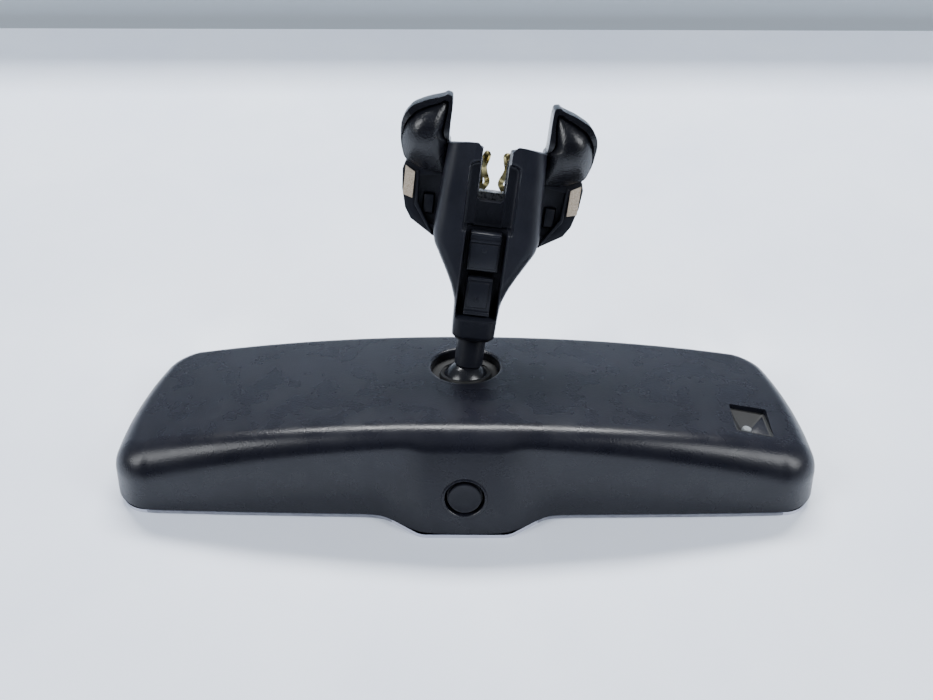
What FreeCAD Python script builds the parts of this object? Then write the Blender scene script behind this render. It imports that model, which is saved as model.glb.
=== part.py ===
import FreeCAD, Part
import os
import re
import Sketcher
from FreeCAD import Placement, Rotation, Vector

# Interior rear-view mirror with an automatic dimming glass, resting on its glass.
# Origin: on the glass face, under the centre of the ball joint. +X along the mirror,
# -Y towards the chin and its button, +Z out of the mirror's back. Millimetres.

DOC = FreeCAD.newDocument("rearview_mirror")

DIMENSIONS = {
    # plan of the mirror head, at the rim
    "half_length": 124.0,
    "lower_end_depth": 46.3,
    "upper_half_length": 110.5,
    "upper_end_depth": 19.5,
    "side_arc_radius": 130.0,
    "top_arc_radius": 1050.0,
    "chin_root_half": 29.4,
    "chin_root_depth": 48.2,
    "chin_tip_half": 16.0,
    "chin_tip_depth": 56.4,
    "lower_corner_radius": 11.0,
    "upper_corner_radius": 14.0,
    "chin_root_radius": 6.0,
    "chin_tip_radius": 8.0,
    # back of the head, a ruled crown from the crest to the far edge
    "crest_corner_depth": 41.0,
    "crest_corner_height": 39.3,
    "crest_overrun": 8.0,
    "lower_face_lean": 11.1,
    "crest_round_radius": 8.0,
    "crown_slope": 18.1,
    "crown_far_depth": 40.0,
    "crest_crown_radius": 480.0,
    "far_crown_radius": 1300.0,
    "housing_wall": 2.2,
    "rim_height": 2.6,
    "housing_post_radius": 2.5,
    "end_post_place": 100.0,
    "end_post_depth": 36.0,
    "top_post_place": 70.0,
    "top_post_depth": 4.0,
    "chin_top_height": 35.0,
    "chin_top_half": 13.0,
    "chin_top_depth": 42.6,
    "chin_back_depth": 36.0,
    # layers between the glass face and the carrier
    "front_glass_thickness": 2.0,
    "cell_gap": 0.3,
    "rear_glass_thickness": 1.6,
    "foam_thickness": 1.0,
    "carrier_thickness": 2.0,
    "glass_inset": 0.7,
    "layer_clearance": 0.4,
    "pane_clearance": 1.1,
    "carrier_clearance": 3.8,
    "seal_width": 3.0,
    "foam_inset": 8.5,
    "clip_half_length": 60.0,
    "clip_width": 2.6,
    "clip_thickness": 0.4,
    # circuit board and what it carries
    "board_height": 9.0,
    "board_thickness": 1.6,
    "board_left": 58.0,
    "board_right": "=half_length - 32.0",
    "board_front": 34.0,
    "board_back": 17.5,
    "board_tab_right": "=half_length - 18.0",
    "board_tab_front": 30.0,
    "board_tab_back": 12.0,
    "board_screw_spacing": 60.0,
    "board_screw_depth": 27.0,
    "board_screw_radius": 1.1,
    "board_post_radius": 2.8,
    "glare_sensor_radius": 2.2,
    "glare_sensor_place": 45.0,
    "connector_length": 12.0,
    "connector_width": 8.0,
    "connector_height": 6.0,
    "chip_side": 9.0,
    "chip_height": 1.3,
    # window of the forward light sensor
    "window_place_along": 99.3,
    "window_place_depth": 23.9,
    "window_place_height": "=crest_corner_height - 14.0",
    "window_tilt_along": 9.7,
    "window_tilt_across": 14.2,
    "window_length": 14.0,
    "window_width": 15.0,
    "window_wall": 1.1,
    "window_tray_depth": 2.9,
    "window_clearance": 0.15,
    "light_pipe_radius": 2.4,
    "light_pipe_length": 11.0,
    # dimming button in the chin
    "button_depth": 50.5,
    "button_height": 16.45,
    "button_lean": 23.0,
    "button_radius": 6.2,
    "button_gap": 0.35,
    "button_thickness": "=housing_wall + 0.9",
    "button_flange": 1.2,
    "button_travel": 0.8,
    "plunger_radius": 1.6,
    "plunger_length": 3.6,
    "switch_side": 6.0,
    "switch_height": 3.4,
    "switch_board_length": 15.0,
    "switch_board_width": 8.0,
    # ball joint
    "ball_depth": 0.4,
    "ball_height": 17.8,
    "ball_radius": 8.0,
    "socket_tilt": 16.0,
    "seat_clearance": 0.05,
    "inner_seat_thickness": 1.15,
    "outer_seat_thickness": 1.1,
    "seat_band_low": 5.6,
    "inner_seat_top": 7.0,
    "outer_seat_top": 4.6,
    "socket_radius": "=ball_radius + 6.6",
    "clamp_height": 3.9,
    "socket_screw_circle": "=ball_radius + 4.7",
    "socket_screw_radius": 1.0,
    "socket_screw_length": 9.0,
    "socket_bore_radius": "=ball_radius + 0.6",
    "stem_hole_radius": "=ball_radius + 4.8",
    # arm, drawn upright about the ball centre and then leaned
    "arm_lean_back": 27.0,
    "arm_lean_side": 7.0,
    "neck_radius": 3.6,
    "wire_bore_radius": 2.1,
    "neck_end": 27.0,
    "sleeve_radius": 5.2,
    "sleeve_start": "=ball_radius + 0.5",
    "collar_start": 19.8,
    "collar_half_width": 7.6,
    "throat_half_width": 8.3,
    "throat_height": 34.0,
    "throat_round_radius": 25.0,
    "shoulder_round_radius": 18.0,
    "shoulder_half_width": 18.4,
    "shoulder_height": 56.0,
    "crown_half_width": 16.7,
    "arm_top": 90.5,
    "arm_top_slope": 21.8,
    "fork_half_width": 4.7,
    "fork_floor": 70.0,
    "arm_front": 9.0,
    "arm_back": 7.5,
    "arm_edge_radius": 4.0,
    "trough_half_width": 7.2,
    "trough_start": 28.6,
    "trough_step": 61.0,
    "trough_depth": 7.0,
    "rail_half_width": 8.6,
    "rail_recess": 2.6,
    # die-cast foot plate and its springs
    "foot_half_width": 12.9,
    "foot_start": 48.0,
    "foot_top": 85.0,
    "foot_thickness": 4.5,
    "foot_clearance": 0.3,
    "slot_half_width": 4.3,
    "slot_floor": 72.0,
    "foot_screw_spacing": 9.2,
    "foot_screw_height": 54.0,
    "foot_screw_radius": 1.5,
    "spring_width": 3.0,
    # wings, side brackets and pads of the forked end
    "wing_inner": 16.9,
    "wing_top": 104.2,
    "wing_outer": 33.4,
    "wing_front": 7.5,
    "wing_back": 4.5,
    "wing_wall": 1.8,
    "wing_floor": 79.0,
    "bracket_front": 1.0,
    "bracket_back": 5.0,
    "bracket_gap": 0.3,
    "bracket_hip_height": 60.0,
    "bracket_bulge_height": 71.0,
    "latch_slot_start": 62.0,
    "latch_slot_width": 3.6,
    "latch_slot_height": 7.4,
    "pad_start": 67.6,
    "pad_length": 10.0,
    "pad_slant": 1.0,
    "pad_width": 3.4,
    "pad_thickness": 0.9,
    # connectors in the trough
    "lower_plug_half": 4.7,
    "lower_plug_start": 29.4,
    "lower_plug_end": 43.6,
    "upper_plug_half": 5.6,
    "upper_plug_start": 45.6,
    "upper_plug_end": 60.0,
    "plug_height": 4.8,
    "plug_ledge": 1.6,
}

SIZES = DOC.addObject("Spreadsheet::Sheet", "Sizes")
for row, (alias, size) in enumerate(DIMENSIONS.items(), start=1):
    SIZES.set("A%d" % row, alias.replace("_", " "))
    SIZES.set("B%d" % row, str(size))
    SIZES.setAlias("B%d" % row, alias)
DOC.recompute()

NODES = []


# ---- expressions, placements and small helpers

def bound(text):
    """Give every sheet name in an expression its sheet, ready for setExpression."""
    return re.sub(r"\b([a-z]+(?:_[a-z]+)+)\b", r"Sizes.\1", str(text))


def number(text):
    """Value of an expression over the sheet."""
    return float(SIZES.evalExpression(bound(text)))


def bind(thing, **expressions):
    """Bind properties of an object to the sheet; a double underscore stands for a dot."""
    for name, text in expressions.items():
        thing.setExpression(name.replace("__", "."), bound(text))
    return thing


def keep(thing, name):
    """Name a finished sub-part and list it for export."""
    thing.Label = name
    NODES.append(thing)
    return thing


def arm_frame():
    """Frame of the leaned arm: origin at the ball centre, Z along the arm."""
    back = Rotation(Vector(1, 0, 0), -number("arm_lean_back"))
    side = Rotation(Vector(0, 1, 0), number("arm_lean_side"))
    return Placement(ball_centre(), back.multiply(side))


def ball_centre():
    return Vector(0, -number("ball_depth"), number("ball_height"))


def socket_frame():
    """Frame of the fixed socket: origin at the ball centre, Z out of the head's hole."""
    return Placement(ball_centre(), Rotation(Vector(1, 0, 0), -number("socket_tilt")))


def button_frame():
    """Frame of the button: origin in the chin face, Z outwards."""
    place = Vector(0, -number("button_depth"), number("button_height"))
    return Placement(place, Rotation(Vector(1, 0, 0), 90 - number("button_lean")))


def window_frame():
    """Frame of the sensor window: origin on the back surface, Z outwards."""
    place = Vector(number("window_place_along"), -number("window_place_depth"),
                   number("window_place_height"))
    along = Rotation(Vector(0, 1, 0), number("window_tilt_along"))
    across = Rotation(Vector(1, 0, 0), -number("window_tilt_across"))
    return Placement(place, across.multiply(along))


# ---- primitives and booleans

def box(name, x, y, z):
    """Box from three (low, high) pairs of expressions."""
    block = DOC.addObject("Part::Box", name)
    bind(block, Length="(%s) - (%s)" % (x[1], x[0]), Width="(%s) - (%s)" % (y[1], y[0]),
         Height="(%s) - (%s)" % (z[1], z[0]))
    return bind(block, Placement__Base__x=x[0], Placement__Base__y=y[0], Placement__Base__z=z[0])


def rod(name, radius, low, high, x="0", y="0"):
    """Cylinder along Z between two heights."""
    pin = DOC.addObject("Part::Cylinder", name)
    bind(pin, Radius=radius, Height="(%s) - (%s)" % (high, low))
    return bind(pin, Placement__Base__x=x, Placement__Base__y=y, Placement__Base__z=low)


def joined(name, pieces):
    union = DOC.addObject("Part::MultiFuse", name)
    union.Shapes = pieces
    return union


def cut(name, base, tools):
    """Base less one tool, or less several joined ones."""
    result = DOC.addObject("Part::Cut", name)
    result.Base = base
    result.Tool = tools[0] if len(tools) == 1 else joined(name + "_tools", tools)
    return result


def overlap(name, one, two):
    result = DOC.addObject("Part::Common", name)
    result.Base = one
    result.Tool = two
    return result


def placed(thing, frame):
    """Move a shape into a frame; a primitive keeps its own bound place inside a holder."""
    if any("Placement" in path for path, _ in thing.ExpressionEngine):
        holder = DOC.addObject("Part::Compound", thing.Name + "_held")
        holder.Links = [thing]
        thing = holder
    thing.Placement = frame.multiply(thing.Placement)
    return thing


# ---- sketches and PartDesign features

def sketch_on(body, role, offset="0", rise="0"):
    """Sketch on an origin plane of its body, moved along the normal and up the page."""
    sketch = body.newObject("Sketcher::SketchObject", "sketch")
    plane = next(f for f in body.Origin.OriginFeatures if f.Role == role)
    sketch.AttachmentSupport = (plane, "")
    sketch.MapMode = "FlatFace"
    return bind(sketch, AttachmentOffset__Base__z=offset, AttachmentOffset__Base__y=rise)


def loop(sketch, points, arcs=None):
    """Closed outline through (x, y) expressions; arcs gives the radius of a bulging side."""
    arcs = arcs or {}
    corners = [Vector(number(x), number(y), 0) for x, y in points]
    middle = sum(corners, Vector()) * (1.0 / len(corners))
    first = sketch.GeometryCount
    ends = []
    for side, start in enumerate(corners):
        stop = corners[(side + 1) % len(corners)]
        if side in arcs:
            radius = number(arcs[side].lstrip("~"))
            half = (stop - start).Length / 2
            sagitta = radius - (radius ** 2 - half ** 2) ** 0.5
            chord = (start + stop) * 0.5
            outward = Vector(stop.y - start.y, start.x - stop.x, 0).normalize()
            if outward.dot(chord - middle) < 0:
                outward = outward * -1
            if arcs[side].startswith("~"):
                outward = outward * -1
            turns_left = outward.cross(stop - start).z > 0
            first_end, last_end = (start, stop) if turns_left else (stop, start)
            sketch.addGeometry(Part.Arc(first_end, chord + outward * sagitta, last_end))
        else:
            sketch.addGeometry(Part.LineSegment(start, stop))
        curve = sketch.Geometry[first + side]
        forward = (curve.StartPoint - start).Length < (curve.EndPoint - start).Length
        ends.append((1, 2) if forward else (2, 1))
    for side, (x, y) in enumerate(points):
        follower = (side + 1) % len(points)
        sketch.addConstraint(Sketcher.Constraint(
            "Coincident", first + side, ends[side][1], first + follower, ends[follower][0]))
        fix(sketch, "DistanceX", -2, first + side, ends[side][0], x)
        fix(sketch, "DistanceY", -1, first + side, ends[side][0], y)
        if side in arcs:
            radius = arcs[side].lstrip("~")
            index = sketch.addConstraint(Sketcher.Constraint("Radius", first + side, number(radius)))
            sketch.setExpression("Constraints[%d]" % index, bound(radius))
    return sketch


def fix(sketch, kind, axis, curve, end, text):
    """Hold an end of a curve at a bound distance from the origin, or on an axis."""
    if abs(number(text)) < 1e-9:
        sketch.addConstraint(Sketcher.Constraint("PointOnObject", curve, end, axis))
        return
    index = sketch.addConstraint(Sketcher.Constraint(kind, -1, 1, curve, end, number(text)))
    sketch.setExpression("Constraints[%d]" % index, bound(text))


def circle(sketch, radius, x="0", y="0"):
    centre = Vector(number(x), number(y), 0)
    curve = sketch.addGeometry(Part.Circle(centre, Vector(0, 0, 1), number(radius)))
    fix(sketch, "DistanceX", -2, curve, 3, x)
    fix(sketch, "DistanceY", -1, curve, 3, y)
    index = sketch.addConstraint(Sketcher.Constraint("Radius", curve, number(radius)))
    sketch.setExpression("Constraints[%d]" % index, bound(radius))
    return sketch


def new_body(name):
    return DOC.addObject("PartDesign::Body", name)


def pad(body, sketch, length, backwards=False):
    feature = body.newObject("PartDesign::Pad", "pad")
    feature.Profile = sketch
    feature.Reversed = backwards
    bind(feature, Length=length)
    DOC.recompute()
    return feature


def pocket(body, sketch, depth, backwards=False):
    """Cut a sketch into a body and make sure that it removes something."""
    before = body.Shape.Volume
    feature = body.newObject("PartDesign::Pocket", "pocket")
    feature.Profile = sketch
    feature.Reversed = backwards
    bind(feature, Length=depth)
    DOC.recompute()
    if body.Shape.Volume > before - 1e-3:
        raise ValueError("a pocket of %s cuts nothing" % body.Name)
    return feature


def turned(body, sketch, axis="V_Axis"):
    feature = body.newObject("PartDesign::Revolution", "turned")
    feature.Profile = sketch
    feature.ReferenceAxis = (sketch, [axis])
    DOC.recompute()
    return feature


def rounded(body, wanted, radius):
    """Fillet the edges of a body that the test picks."""
    DOC.recompute()
    base = body.Tip
    names = ["Edge%d" % (i + 1) for i, edge in enumerate(base.Shape.Edges) if wanted(edge)]
    feature = body.newObject("PartDesign::Fillet", "rounded")
    feature.Base = (base, names)
    bind(feature, Radius=radius)
    DOC.recompute()
    return feature


def along(edge, axis):
    """Whether an edge is straight and runs along an axis, X, Y or Z."""
    if edge.Curve.TypeId != "Part::GeomLine":
        return False
    return abs(edge.tangentAt(edge.FirstParameter).dot(axis)) > 0.999


def both_sides(points):
    """A right half outline, from the bottom up, closed by its mirror image."""
    return points + [("-(%s)" % x, y) for x, y in reversed(points)]


# ---- the mirror head's outline and its stack of layers

def head_outline(inset):
    right = [("chin_tip_half - 0.6*(%s)" % inset, "-chin_tip_depth + (%s)" % inset),
             ("chin_root_half - 0.6*(%s)" % inset, "-chin_root_depth + (%s)" % inset),
             ("half_length - (%s)" % inset, "-lower_end_depth + (%s)" % inset),
             ("upper_half_length - (%s)" % inset, "upper_end_depth - (%s)" % inset)]
    return both_sides(right)


HEAD_SIDES = (2, 4)
HEAD_TOP = 3


def head_plate(name, inset, low, high):
    """Plate with the head's outline, moved in by an inset, between two heights."""
    body = new_body(name)
    sketch = sketch_on(body, "XY_Plane", low)
    side = "side_arc_radius - (%s)" % inset
    arcs = {HEAD_SIDES[0]: side, HEAD_TOP: "top_arc_radius - (%s)" % inset, HEAD_SIDES[1]: side}
    loop(sketch, head_outline(inset), arcs)
    pad(body, sketch, "(%s) - (%s)" % (high, low))
    round_corners(body, inset)
    return body


def round_corners(body, inset):
    """Round the eight corners of the head's outline, hollow ones included."""
    radii = ["chin_tip_radius - 0.5*(%s)" % inset, "chin_root_radius",
             "lower_corner_radius - 0.5*(%s)" % inset, "upper_corner_radius - 0.5*(%s)" % inset]
    for (x, y), radius in zip(head_outline(inset), radii):
        corner = Vector(number(x), number(y), 0)

        def near(edge):
            centre = edge.CenterOfMass
            flat = Vector(abs(centre.x), centre.y, 0)
            return along(edge, Vector(0, 0, 1)) and (flat - corner).Length < 0.1

        rounded(body, near, radius)


def front_glass():
    """Outer pane, with the reflecting face down at the origin."""
    keep(head_plate("FrontGlass", "glass_inset", "0", "front_glass_thickness"), "front_glass")


PANE_INSET = "housing_wall + pane_clearance"
CARRIER_INSET = "housing_wall + carrier_clearance"


def epoxy_seal():
    """Ring that keeps the dimming fluid between the panes."""
    low, high = "front_glass_thickness", "front_glass_thickness + cell_gap"
    outer = head_plate("SealOuter", PANE_INSET, low, high)
    inner = head_plate("SealInner", PANE_INSET + " + seal_width", low + " - 1", high + " + 1")
    keep(cut("Seal", outer, [inner]), "epoxy_seal")


REAR_LOW = "front_glass_thickness + cell_gap"
REAR_HIGH = REAR_LOW + " + rear_glass_thickness"
CARRIER_LOW = REAR_HIGH + " + foam_thickness"
CARRIER_HIGH = CARRIER_LOW + " + carrier_thickness"
BOARD_TOP = "board_height + board_thickness"
SENSOR_HOLE = "glare_sensor_radius + layer_clearance"
SENSOR_PLACE = ("glare_sensor_place", "-board_screw_depth")


def rear_glass():
    keep(head_plate("RearGlass", PANE_INSET, REAR_LOW, REAR_HIGH), "rear_glass")


LOWER_CLIP = "-lower_end_depth + %s + 0.3" % PANE_INSET


def bus_clips():
    """Metal strips that feed the two coatings, along the back of the rear pane."""
    length = ("-clip_half_length", "clip_half_length")
    height = (REAR_HIGH, REAR_HIGH + " + clip_thickness")
    upper = "upper_end_depth - 3.1"
    edges = {"upper_bus_clip": (upper, upper + " + clip_width"),
             "lower_bus_clip": (LOWER_CLIP, LOWER_CLIP + " + clip_width")}
    for name, width in edges.items():
        keep(box(name, length, width, height), name)


def foam_pad():
    """Foam that beds the glass on its carrier."""
    sheet = head_plate("FoamSheet", PANE_INSET + " + foam_inset", REAR_HIGH, CARRIER_LOW)
    hole = rod("FoamHole", SENSOR_HOLE, REAR_HIGH + " - 1", CARRIER_LOW + " + 1", *SENSOR_PLACE)
    edge = box("FoamEdge", ("-half_length", "half_length"),
               ("-chin_tip_depth", LOWER_CLIP + " + clip_width + layer_clearance"),
               (REAR_HIGH + " - 1", CARRIER_LOW + " + 1"))
    keep(cut("Foam", sheet, [hole, edge]), "foam_pad")


def board_points():
    """Places of the three board screws."""
    return [("%d*board_screw_spacing + 24" % i, "-board_screw_depth") for i in (-1, 0, 1)]


def carrier_plate():
    plate = head_plate("CarrierSheet", CARRIER_INSET, CARRIER_LOW, CARRIER_HIGH)
    posts = [rod("Post%d" % i, "board_post_radius", CARRIER_HIGH, "board_height", x, y)
             for i, (x, y) in enumerate(board_points())]
    solid = joined("CarrierSolid", [plate] + posts)
    holes = [rod("PostHole%d" % i, "board_screw_radius", CARRIER_LOW + " + 0.5",
                 "board_height + 1", x, y) for i, (x, y) in enumerate(board_points())]
    window = rod("SensorHole", SENSOR_HOLE, CARRIER_LOW + " - 1", CARRIER_HIGH + " + 1",
                 *SENSOR_PLACE)
    sockets = [placed(hole, socket_frame()) for hole in socket_screws_at("CarrierHole", 0)]
    relief = placed(rod("ButtonRelief", "button_radius + button_flange + 0.6", "-16", "0"),
                    button_frame())
    keep(cut("Carrier", solid, holes + [window, relief] + sockets), "carrier_plate")


# ---- circuit board

def circuit_board():
    height = ("board_height", BOARD_TOP)
    main = box("BoardMain", ("-board_left", "board_right"), ("-board_front", "-board_back"), height)
    tab = box("BoardTab", ("board_right - 1", "board_tab_right"),
              ("-board_tab_front", "-board_tab_back"), height)
    holes = [rod("BoardHole%d" % i, "board_screw_radius", "board_height - 1", BOARD_TOP + " + 1",
                 x, y) for i, (x, y) in enumerate(board_points())]
    keep(cut("Board", joined("BoardSolid", [main, tab]), holes), "circuit_board")


def board_screws():
    """Three screws with flat heads on the board, in the carrier's posts."""
    screws = []
    for i, (x, y) in enumerate(board_points()):
        shank = rod("BoardShank%d" % i, "board_screw_radius", CARRIER_LOW + " + 0.5", BOARD_TOP, x, y)
        head = rod("BoardHead%d" % i, "board_screw_radius*2", BOARD_TOP, BOARD_TOP + " + 1.4", x, y)
        screws.append(joined("BoardScrew%d" % i, [shank, head]))
    group = DOC.addObject("Part::Compound", "BoardScrews")
    group.Links = screws
    keep(group, "board_screws")


def board_parts():
    keep(rod("GlareSensor", "glare_sensor_radius", REAR_HIGH + " + layer_clearance",
             "board_height", *SENSOR_PLACE), "glare_sensor")
    socket = box("BoardSocket", ("-board_left + 2", "-board_left + 2 + connector_length"),
                 ("-board_back - 3 - connector_width", "-board_back - 3"),
                 (BOARD_TOP, BOARD_TOP + " + connector_height"))
    mouth = box("BoardSocketMouth",
                ("-board_left + 3", "-board_left + 1 + connector_length"),
                ("-board_back - 2 - connector_width", "-board_back - 4"),
                (BOARD_TOP + " + 1.5", BOARD_TOP + " + connector_height + 1"))
    keep(cut("BoardConnector", socket, [mouth]), "board_connector")
    keep(box("Chip", ("-chip_side/2", "chip_side/2"),
             ("-board_screw_depth - chip_side/2", "-board_screw_depth + chip_side/2"),
             (BOARD_TOP, BOARD_TOP + " + chip_height")), "control_chip")
    keep(box("ForwardSensor", ("window_place_along - 2", "window_place_along + 2"),
             ("-window_place_depth - 2", "-window_place_depth + 2"),
             (BOARD_TOP, BOARD_TOP + " + 0.9")), "forward_sensor")


# ---- back housing

def crowned_block(name, inset):
    """Ruled crown between an arc ahead of the crest and a flatter arc behind, cut off by the lower face."""
    body = new_body(name)
    sole = "-60"
    half = "(half_length + 10)"
    ends = (("crest_corner_depth + crest_overrun", "crest_overrun", "crest_crown_radius"),
            ("-crown_far_depth", "-(crest_corner_depth + crown_far_depth)", "far_crown_radius"))
    pages = []
    for depth, ahead, radius in ends:
        top = "crest_corner_height - (%s) + (%s)*tan(crown_slope)" % (inset, ahead)
        side = "%s - (%s - sqrt(%s^2 - %s^2))" % (top, radius, radius, half)
        page = sketch_on(body, "XZ_Plane", depth)
        loop(page, [("-" + half, sole), ("-" + half, side), (half, side), (half, sole)], {1: radius})
        pages.append(page)
    loft = body.newObject("PartDesign::AdditiveLoft", "crown")
    loft.Profile = pages[0]
    loft.Sections = [pages[1]]
    loft.Ruled = True
    DOC.recompute()
    corner = "crest_corner_depth - (%s)" % inset
    height = "crest_corner_height - (%s)" % inset
    above = "crest_overrun*4"
    front = sketch_on(body, "YZ_Plane", "0")
    loop(front, [("-(%s) - (%s + 60)*tan(lower_face_lean)" % (corner, height), sole),
                 ("-(%s) + (%s)*tan(lower_face_lean)" % (corner, above), "%s + %s" % (height, above)),
                 ("-crest_corner_depth - 60", "%s + %s" % (height, above)),
                 ("-crest_corner_depth - 60", sole)])
    lower_face = pocket(body, front, "4*half_length")
    lower_face.Midplane = True
    DOC.recompute()
    top = number(height)

    def crest(edge):
        box_ = edge.BoundBox
        centre_depth = abs(edge.CenterOfMass.y + number(corner))
        return box_.XLength > 50 and centre_depth < 4 and abs(box_.ZMax - top) < 1.0

    rounded(body, crest, "crest_round_radius - (%s)" % inset)
    return body


def chin_block(name, inset, low):
    """Bulge round the button: narrower and shallower towards the crest."""
    body = new_body(name)
    bottom = sketch_on(body, "XY_Plane", low)
    loop(bottom, both_sides([("chin_tip_half - 0.6*(%s)" % inset, "-chin_tip_depth + (%s)" % inset),
                             ("chin_root_half - 0.6*(%s)" % inset, "-chin_root_depth + (%s)" % inset),
                             ("chin_root_half - 0.6*(%s)" % inset, "-chin_back_depth")]))
    top = sketch_on(body, "XY_Plane", "chin_top_height - (%s)" % inset)
    loop(top, both_sides([("chin_top_half - (%s)" % inset, "-chin_top_depth + (%s)" % inset),
                          ("chin_top_half + 1 - (%s)" % inset, "-chin_top_depth + 0.6 + (%s)" % inset),
                          ("chin_top_half + 1 - (%s)" % inset, "-chin_back_depth")]))
    loft = body.newObject("PartDesign::AdditiveLoft", "loft")
    loft.Profile = bottom
    loft.Sections = [top]
    loft.Ruled = True
    DOC.recompute()
    return body


def back_housing():
    outer = overlap("HousingOuter", head_plate("HousingPlan", "0", "rim_height", "60"),
                    crowned_block("HousingCrown", "0"))
    shell = joined("HousingSolid", [outer, chin_block("Chin", "0", "rim_height")])
    hollow = overlap("HousingHollow", head_plate("HollowPlan", "housing_wall", "0", "60"),
                     crowned_block("HollowCrown", "housing_wall"))
    chin_hollow = chin_block("ChinHollow", "housing_wall", "rim_height - 1")
    stem_hole = placed(rod("StemHole", "stem_hole_radius", "0", "20"), socket_frame())
    button_hole = placed(rod("ButtonHole", "button_radius + button_gap", "-8", "8"), button_frame())
    window = placed(box("WindowHole", ("-window_length/2", "window_length/2"),
                        ("-window_width/2", "window_width/2"), ("-5", "5")), window_frame())
    walls = cut("HousingWalls", shell, [hollow, chin_hollow, stem_hole, button_hole, window])
    posts = overlap("HousingPosts", joined("PostRods", housing_posts()), outer)
    keep(joined("Housing", [walls, posts]), "back_housing")


def housing_posts():
    """Four posts that stand the housing on the carrier plate."""
    places = [("%s*end_post_place" % sign, "-end_post_depth") for sign in ("1", "-1")]
    places += [("%s*top_post_place" % sign, "top_post_depth") for sign in ("1", "-1")]
    return [rod("HousingPost%d" % i, "housing_post_radius", CARRIER_HIGH, "60", x, y)
            for i, (x, y) in enumerate(places)]


def sensor_window():
    """Shallow tray that fills the window, and the light pipe that stands in it."""
    reach = "window_length/2 - window_clearance"
    width = "window_width/2 - window_clearance"
    tray = box("Tray", ("-(%s)" % reach, reach), ("-(%s)" % width, width),
               ("-window_tray_depth", "-0.3"))
    room = box("TrayRoom", ("-(%s) + window_wall" % reach, "%s - window_wall" % reach),
               ("-(%s) + window_wall" % width, "%s - window_wall" % width),
               ("-window_tray_depth + 0.8", "1"))
    bore = rod("PipeBore", "light_pipe_radius", "-window_tray_depth - 1", "1")
    keep(placed(cut("WindowTray", tray, [room, bore]), window_frame()), "sensor_window")
    pipe = rod("Pipe", "light_pipe_radius", "-0.7 - light_pipe_length", "-0.7")
    keep(placed(pipe, window_frame()), "light_pipe")


# ---- dimming button

SWITCH_TIP = "-(button_thickness + button_flange + plunger_length + button_travel + 0.1)"


def dimming_button():
    cap = rod("ButtonCap", "button_radius", "-button_thickness", "0.1")
    flange = rod("ButtonFlange", "button_radius + button_flange", "-button_thickness - button_flange",
                 "-button_thickness")
    plunger = rod("ButtonPlunger", "plunger_radius",
                  "-button_thickness - button_flange - plunger_length",
                  "-button_thickness - button_flange")
    keep(placed(joined("Button", [cap, flange, plunger]), button_frame()), "dimming_button")


def dimming_switch():
    base = SWITCH_TIP + " - 0.6"
    case = box("SwitchCase", ("-switch_side/2", "switch_side/2"), ("-switch_side/2", "switch_side/2"),
               (base + " - switch_height", base))
    tip = rod("SwitchTip", "plunger_radius", base, SWITCH_TIP)
    keep(placed(joined("Switch", [case, tip]), button_frame()), "dimming_switch")
    board = box("SwitchBoard", ("-switch_board_length/2", "switch_board_length/2"),
                ("-switch_board_width/2", "switch_board_width/2"),
                (base + " - switch_height - board_thickness", base + " - switch_height"))
    keep(placed(board, button_frame()), "switch_board")


# ---- ball joint

INNER_LOW = "ball_radius + seat_clearance"
INNER_HIGH = INNER_LOW + " + inner_seat_thickness"
OUTER_LOW = INNER_HIGH + " + seat_clearance"
OUTER_HIGH = OUTER_LOW + " + outer_seat_thickness"
SOCKET_LOW = OUTER_HIGH + " + seat_clearance"


def ball(name, radius):
    """Sphere about the ball centre."""
    sphere = DOC.addObject("Part::Sphere", name)
    return bind(sphere, Radius=radius)


def seat(name, low, high, top, bottom):
    """Liner between two spheres, cut off flat above and below the centre."""
    shell = cut(name + "Shell", ball(name + "Out", high), [ball(name + "In", low)])
    band = rod(name + "Band", "socket_radius", "-(%s)" % bottom, top)
    return overlap(name, shell, band)


def ball_seats():
    """Two nested liners: the outer one tips with the arm, the inner one rolls with it."""
    outer = seat("OuterSeat", OUTER_LOW, OUTER_HIGH, "outer_seat_top", "seat_band_low")
    back = Rotation(Vector(1, 0, 0), -number("arm_lean_back"))
    keep(placed(outer, Placement(ball_centre(), back)), "outer_ball_seat")
    inner = seat("InnerSeat", INNER_LOW, INNER_HIGH, "inner_seat_top", "seat_band_low")
    keep(placed(inner, arm_frame()), "inner_ball_seat")


def socket_screws_at(name, growth):
    """Shanks of the three socket screws, in the socket's frame."""
    shanks = []
    for i in range(3):
        turn = "%d" % (30 + 120 * i)
        shanks.append(rod("%s%d" % (name, i), "socket_screw_radius + %s" % growth,
                          "clamp_height - 1.2 - socket_screw_length", "clamp_height - 1.2",
                          "socket_screw_circle*cos(%s)" % turn, "socket_screw_circle*sin(%s)" % turn))
    return shanks


def ball_socket():
    """Base on the carrier plate, clamp ring above it, split across the ball's centre."""
    post = rod("SocketPost", "socket_radius", CARRIER_HIGH, "40", "0", "-ball_depth")
    below = placed(box("BelowCentre", ("-40", "40"), ("-40", "40"), ("-40", "0")), socket_frame())
    tools = [ball("SocketBall", SOCKET_LOW), rod("SocketBore", "socket_bore_radius", "-30", "1")]
    tools += socket_screws_at("BaseHole", 0)
    hollow = placed(joined("SocketHollow", tools), socket_frame())
    keep(cut("SocketBase", overlap("SocketBlock", post, below), [hollow]), "socket_base")

    ring = rod("ClampRing", "socket_radius", "0", "clamp_height")
    room = [ball("ClampBall", SOCKET_LOW)] + socket_screws_at("ClampHole", 0)
    room += [socket_head("ClampHead%d" % i, i) for i in range(3)]
    keep(placed(cut("Clamp", ring, room), socket_frame()), "clamp_ring")

    screws = [joined("SocketScrew%d" % i, [shank, socket_head("ScrewHead%d" % i, i)])
              for i, shank in enumerate(socket_screws_at("Shank", 0))]
    group = DOC.addObject("Part::Compound", "SocketScrews")
    group.Links = screws
    keep(placed(group, socket_frame()), "socket_screws")


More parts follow.
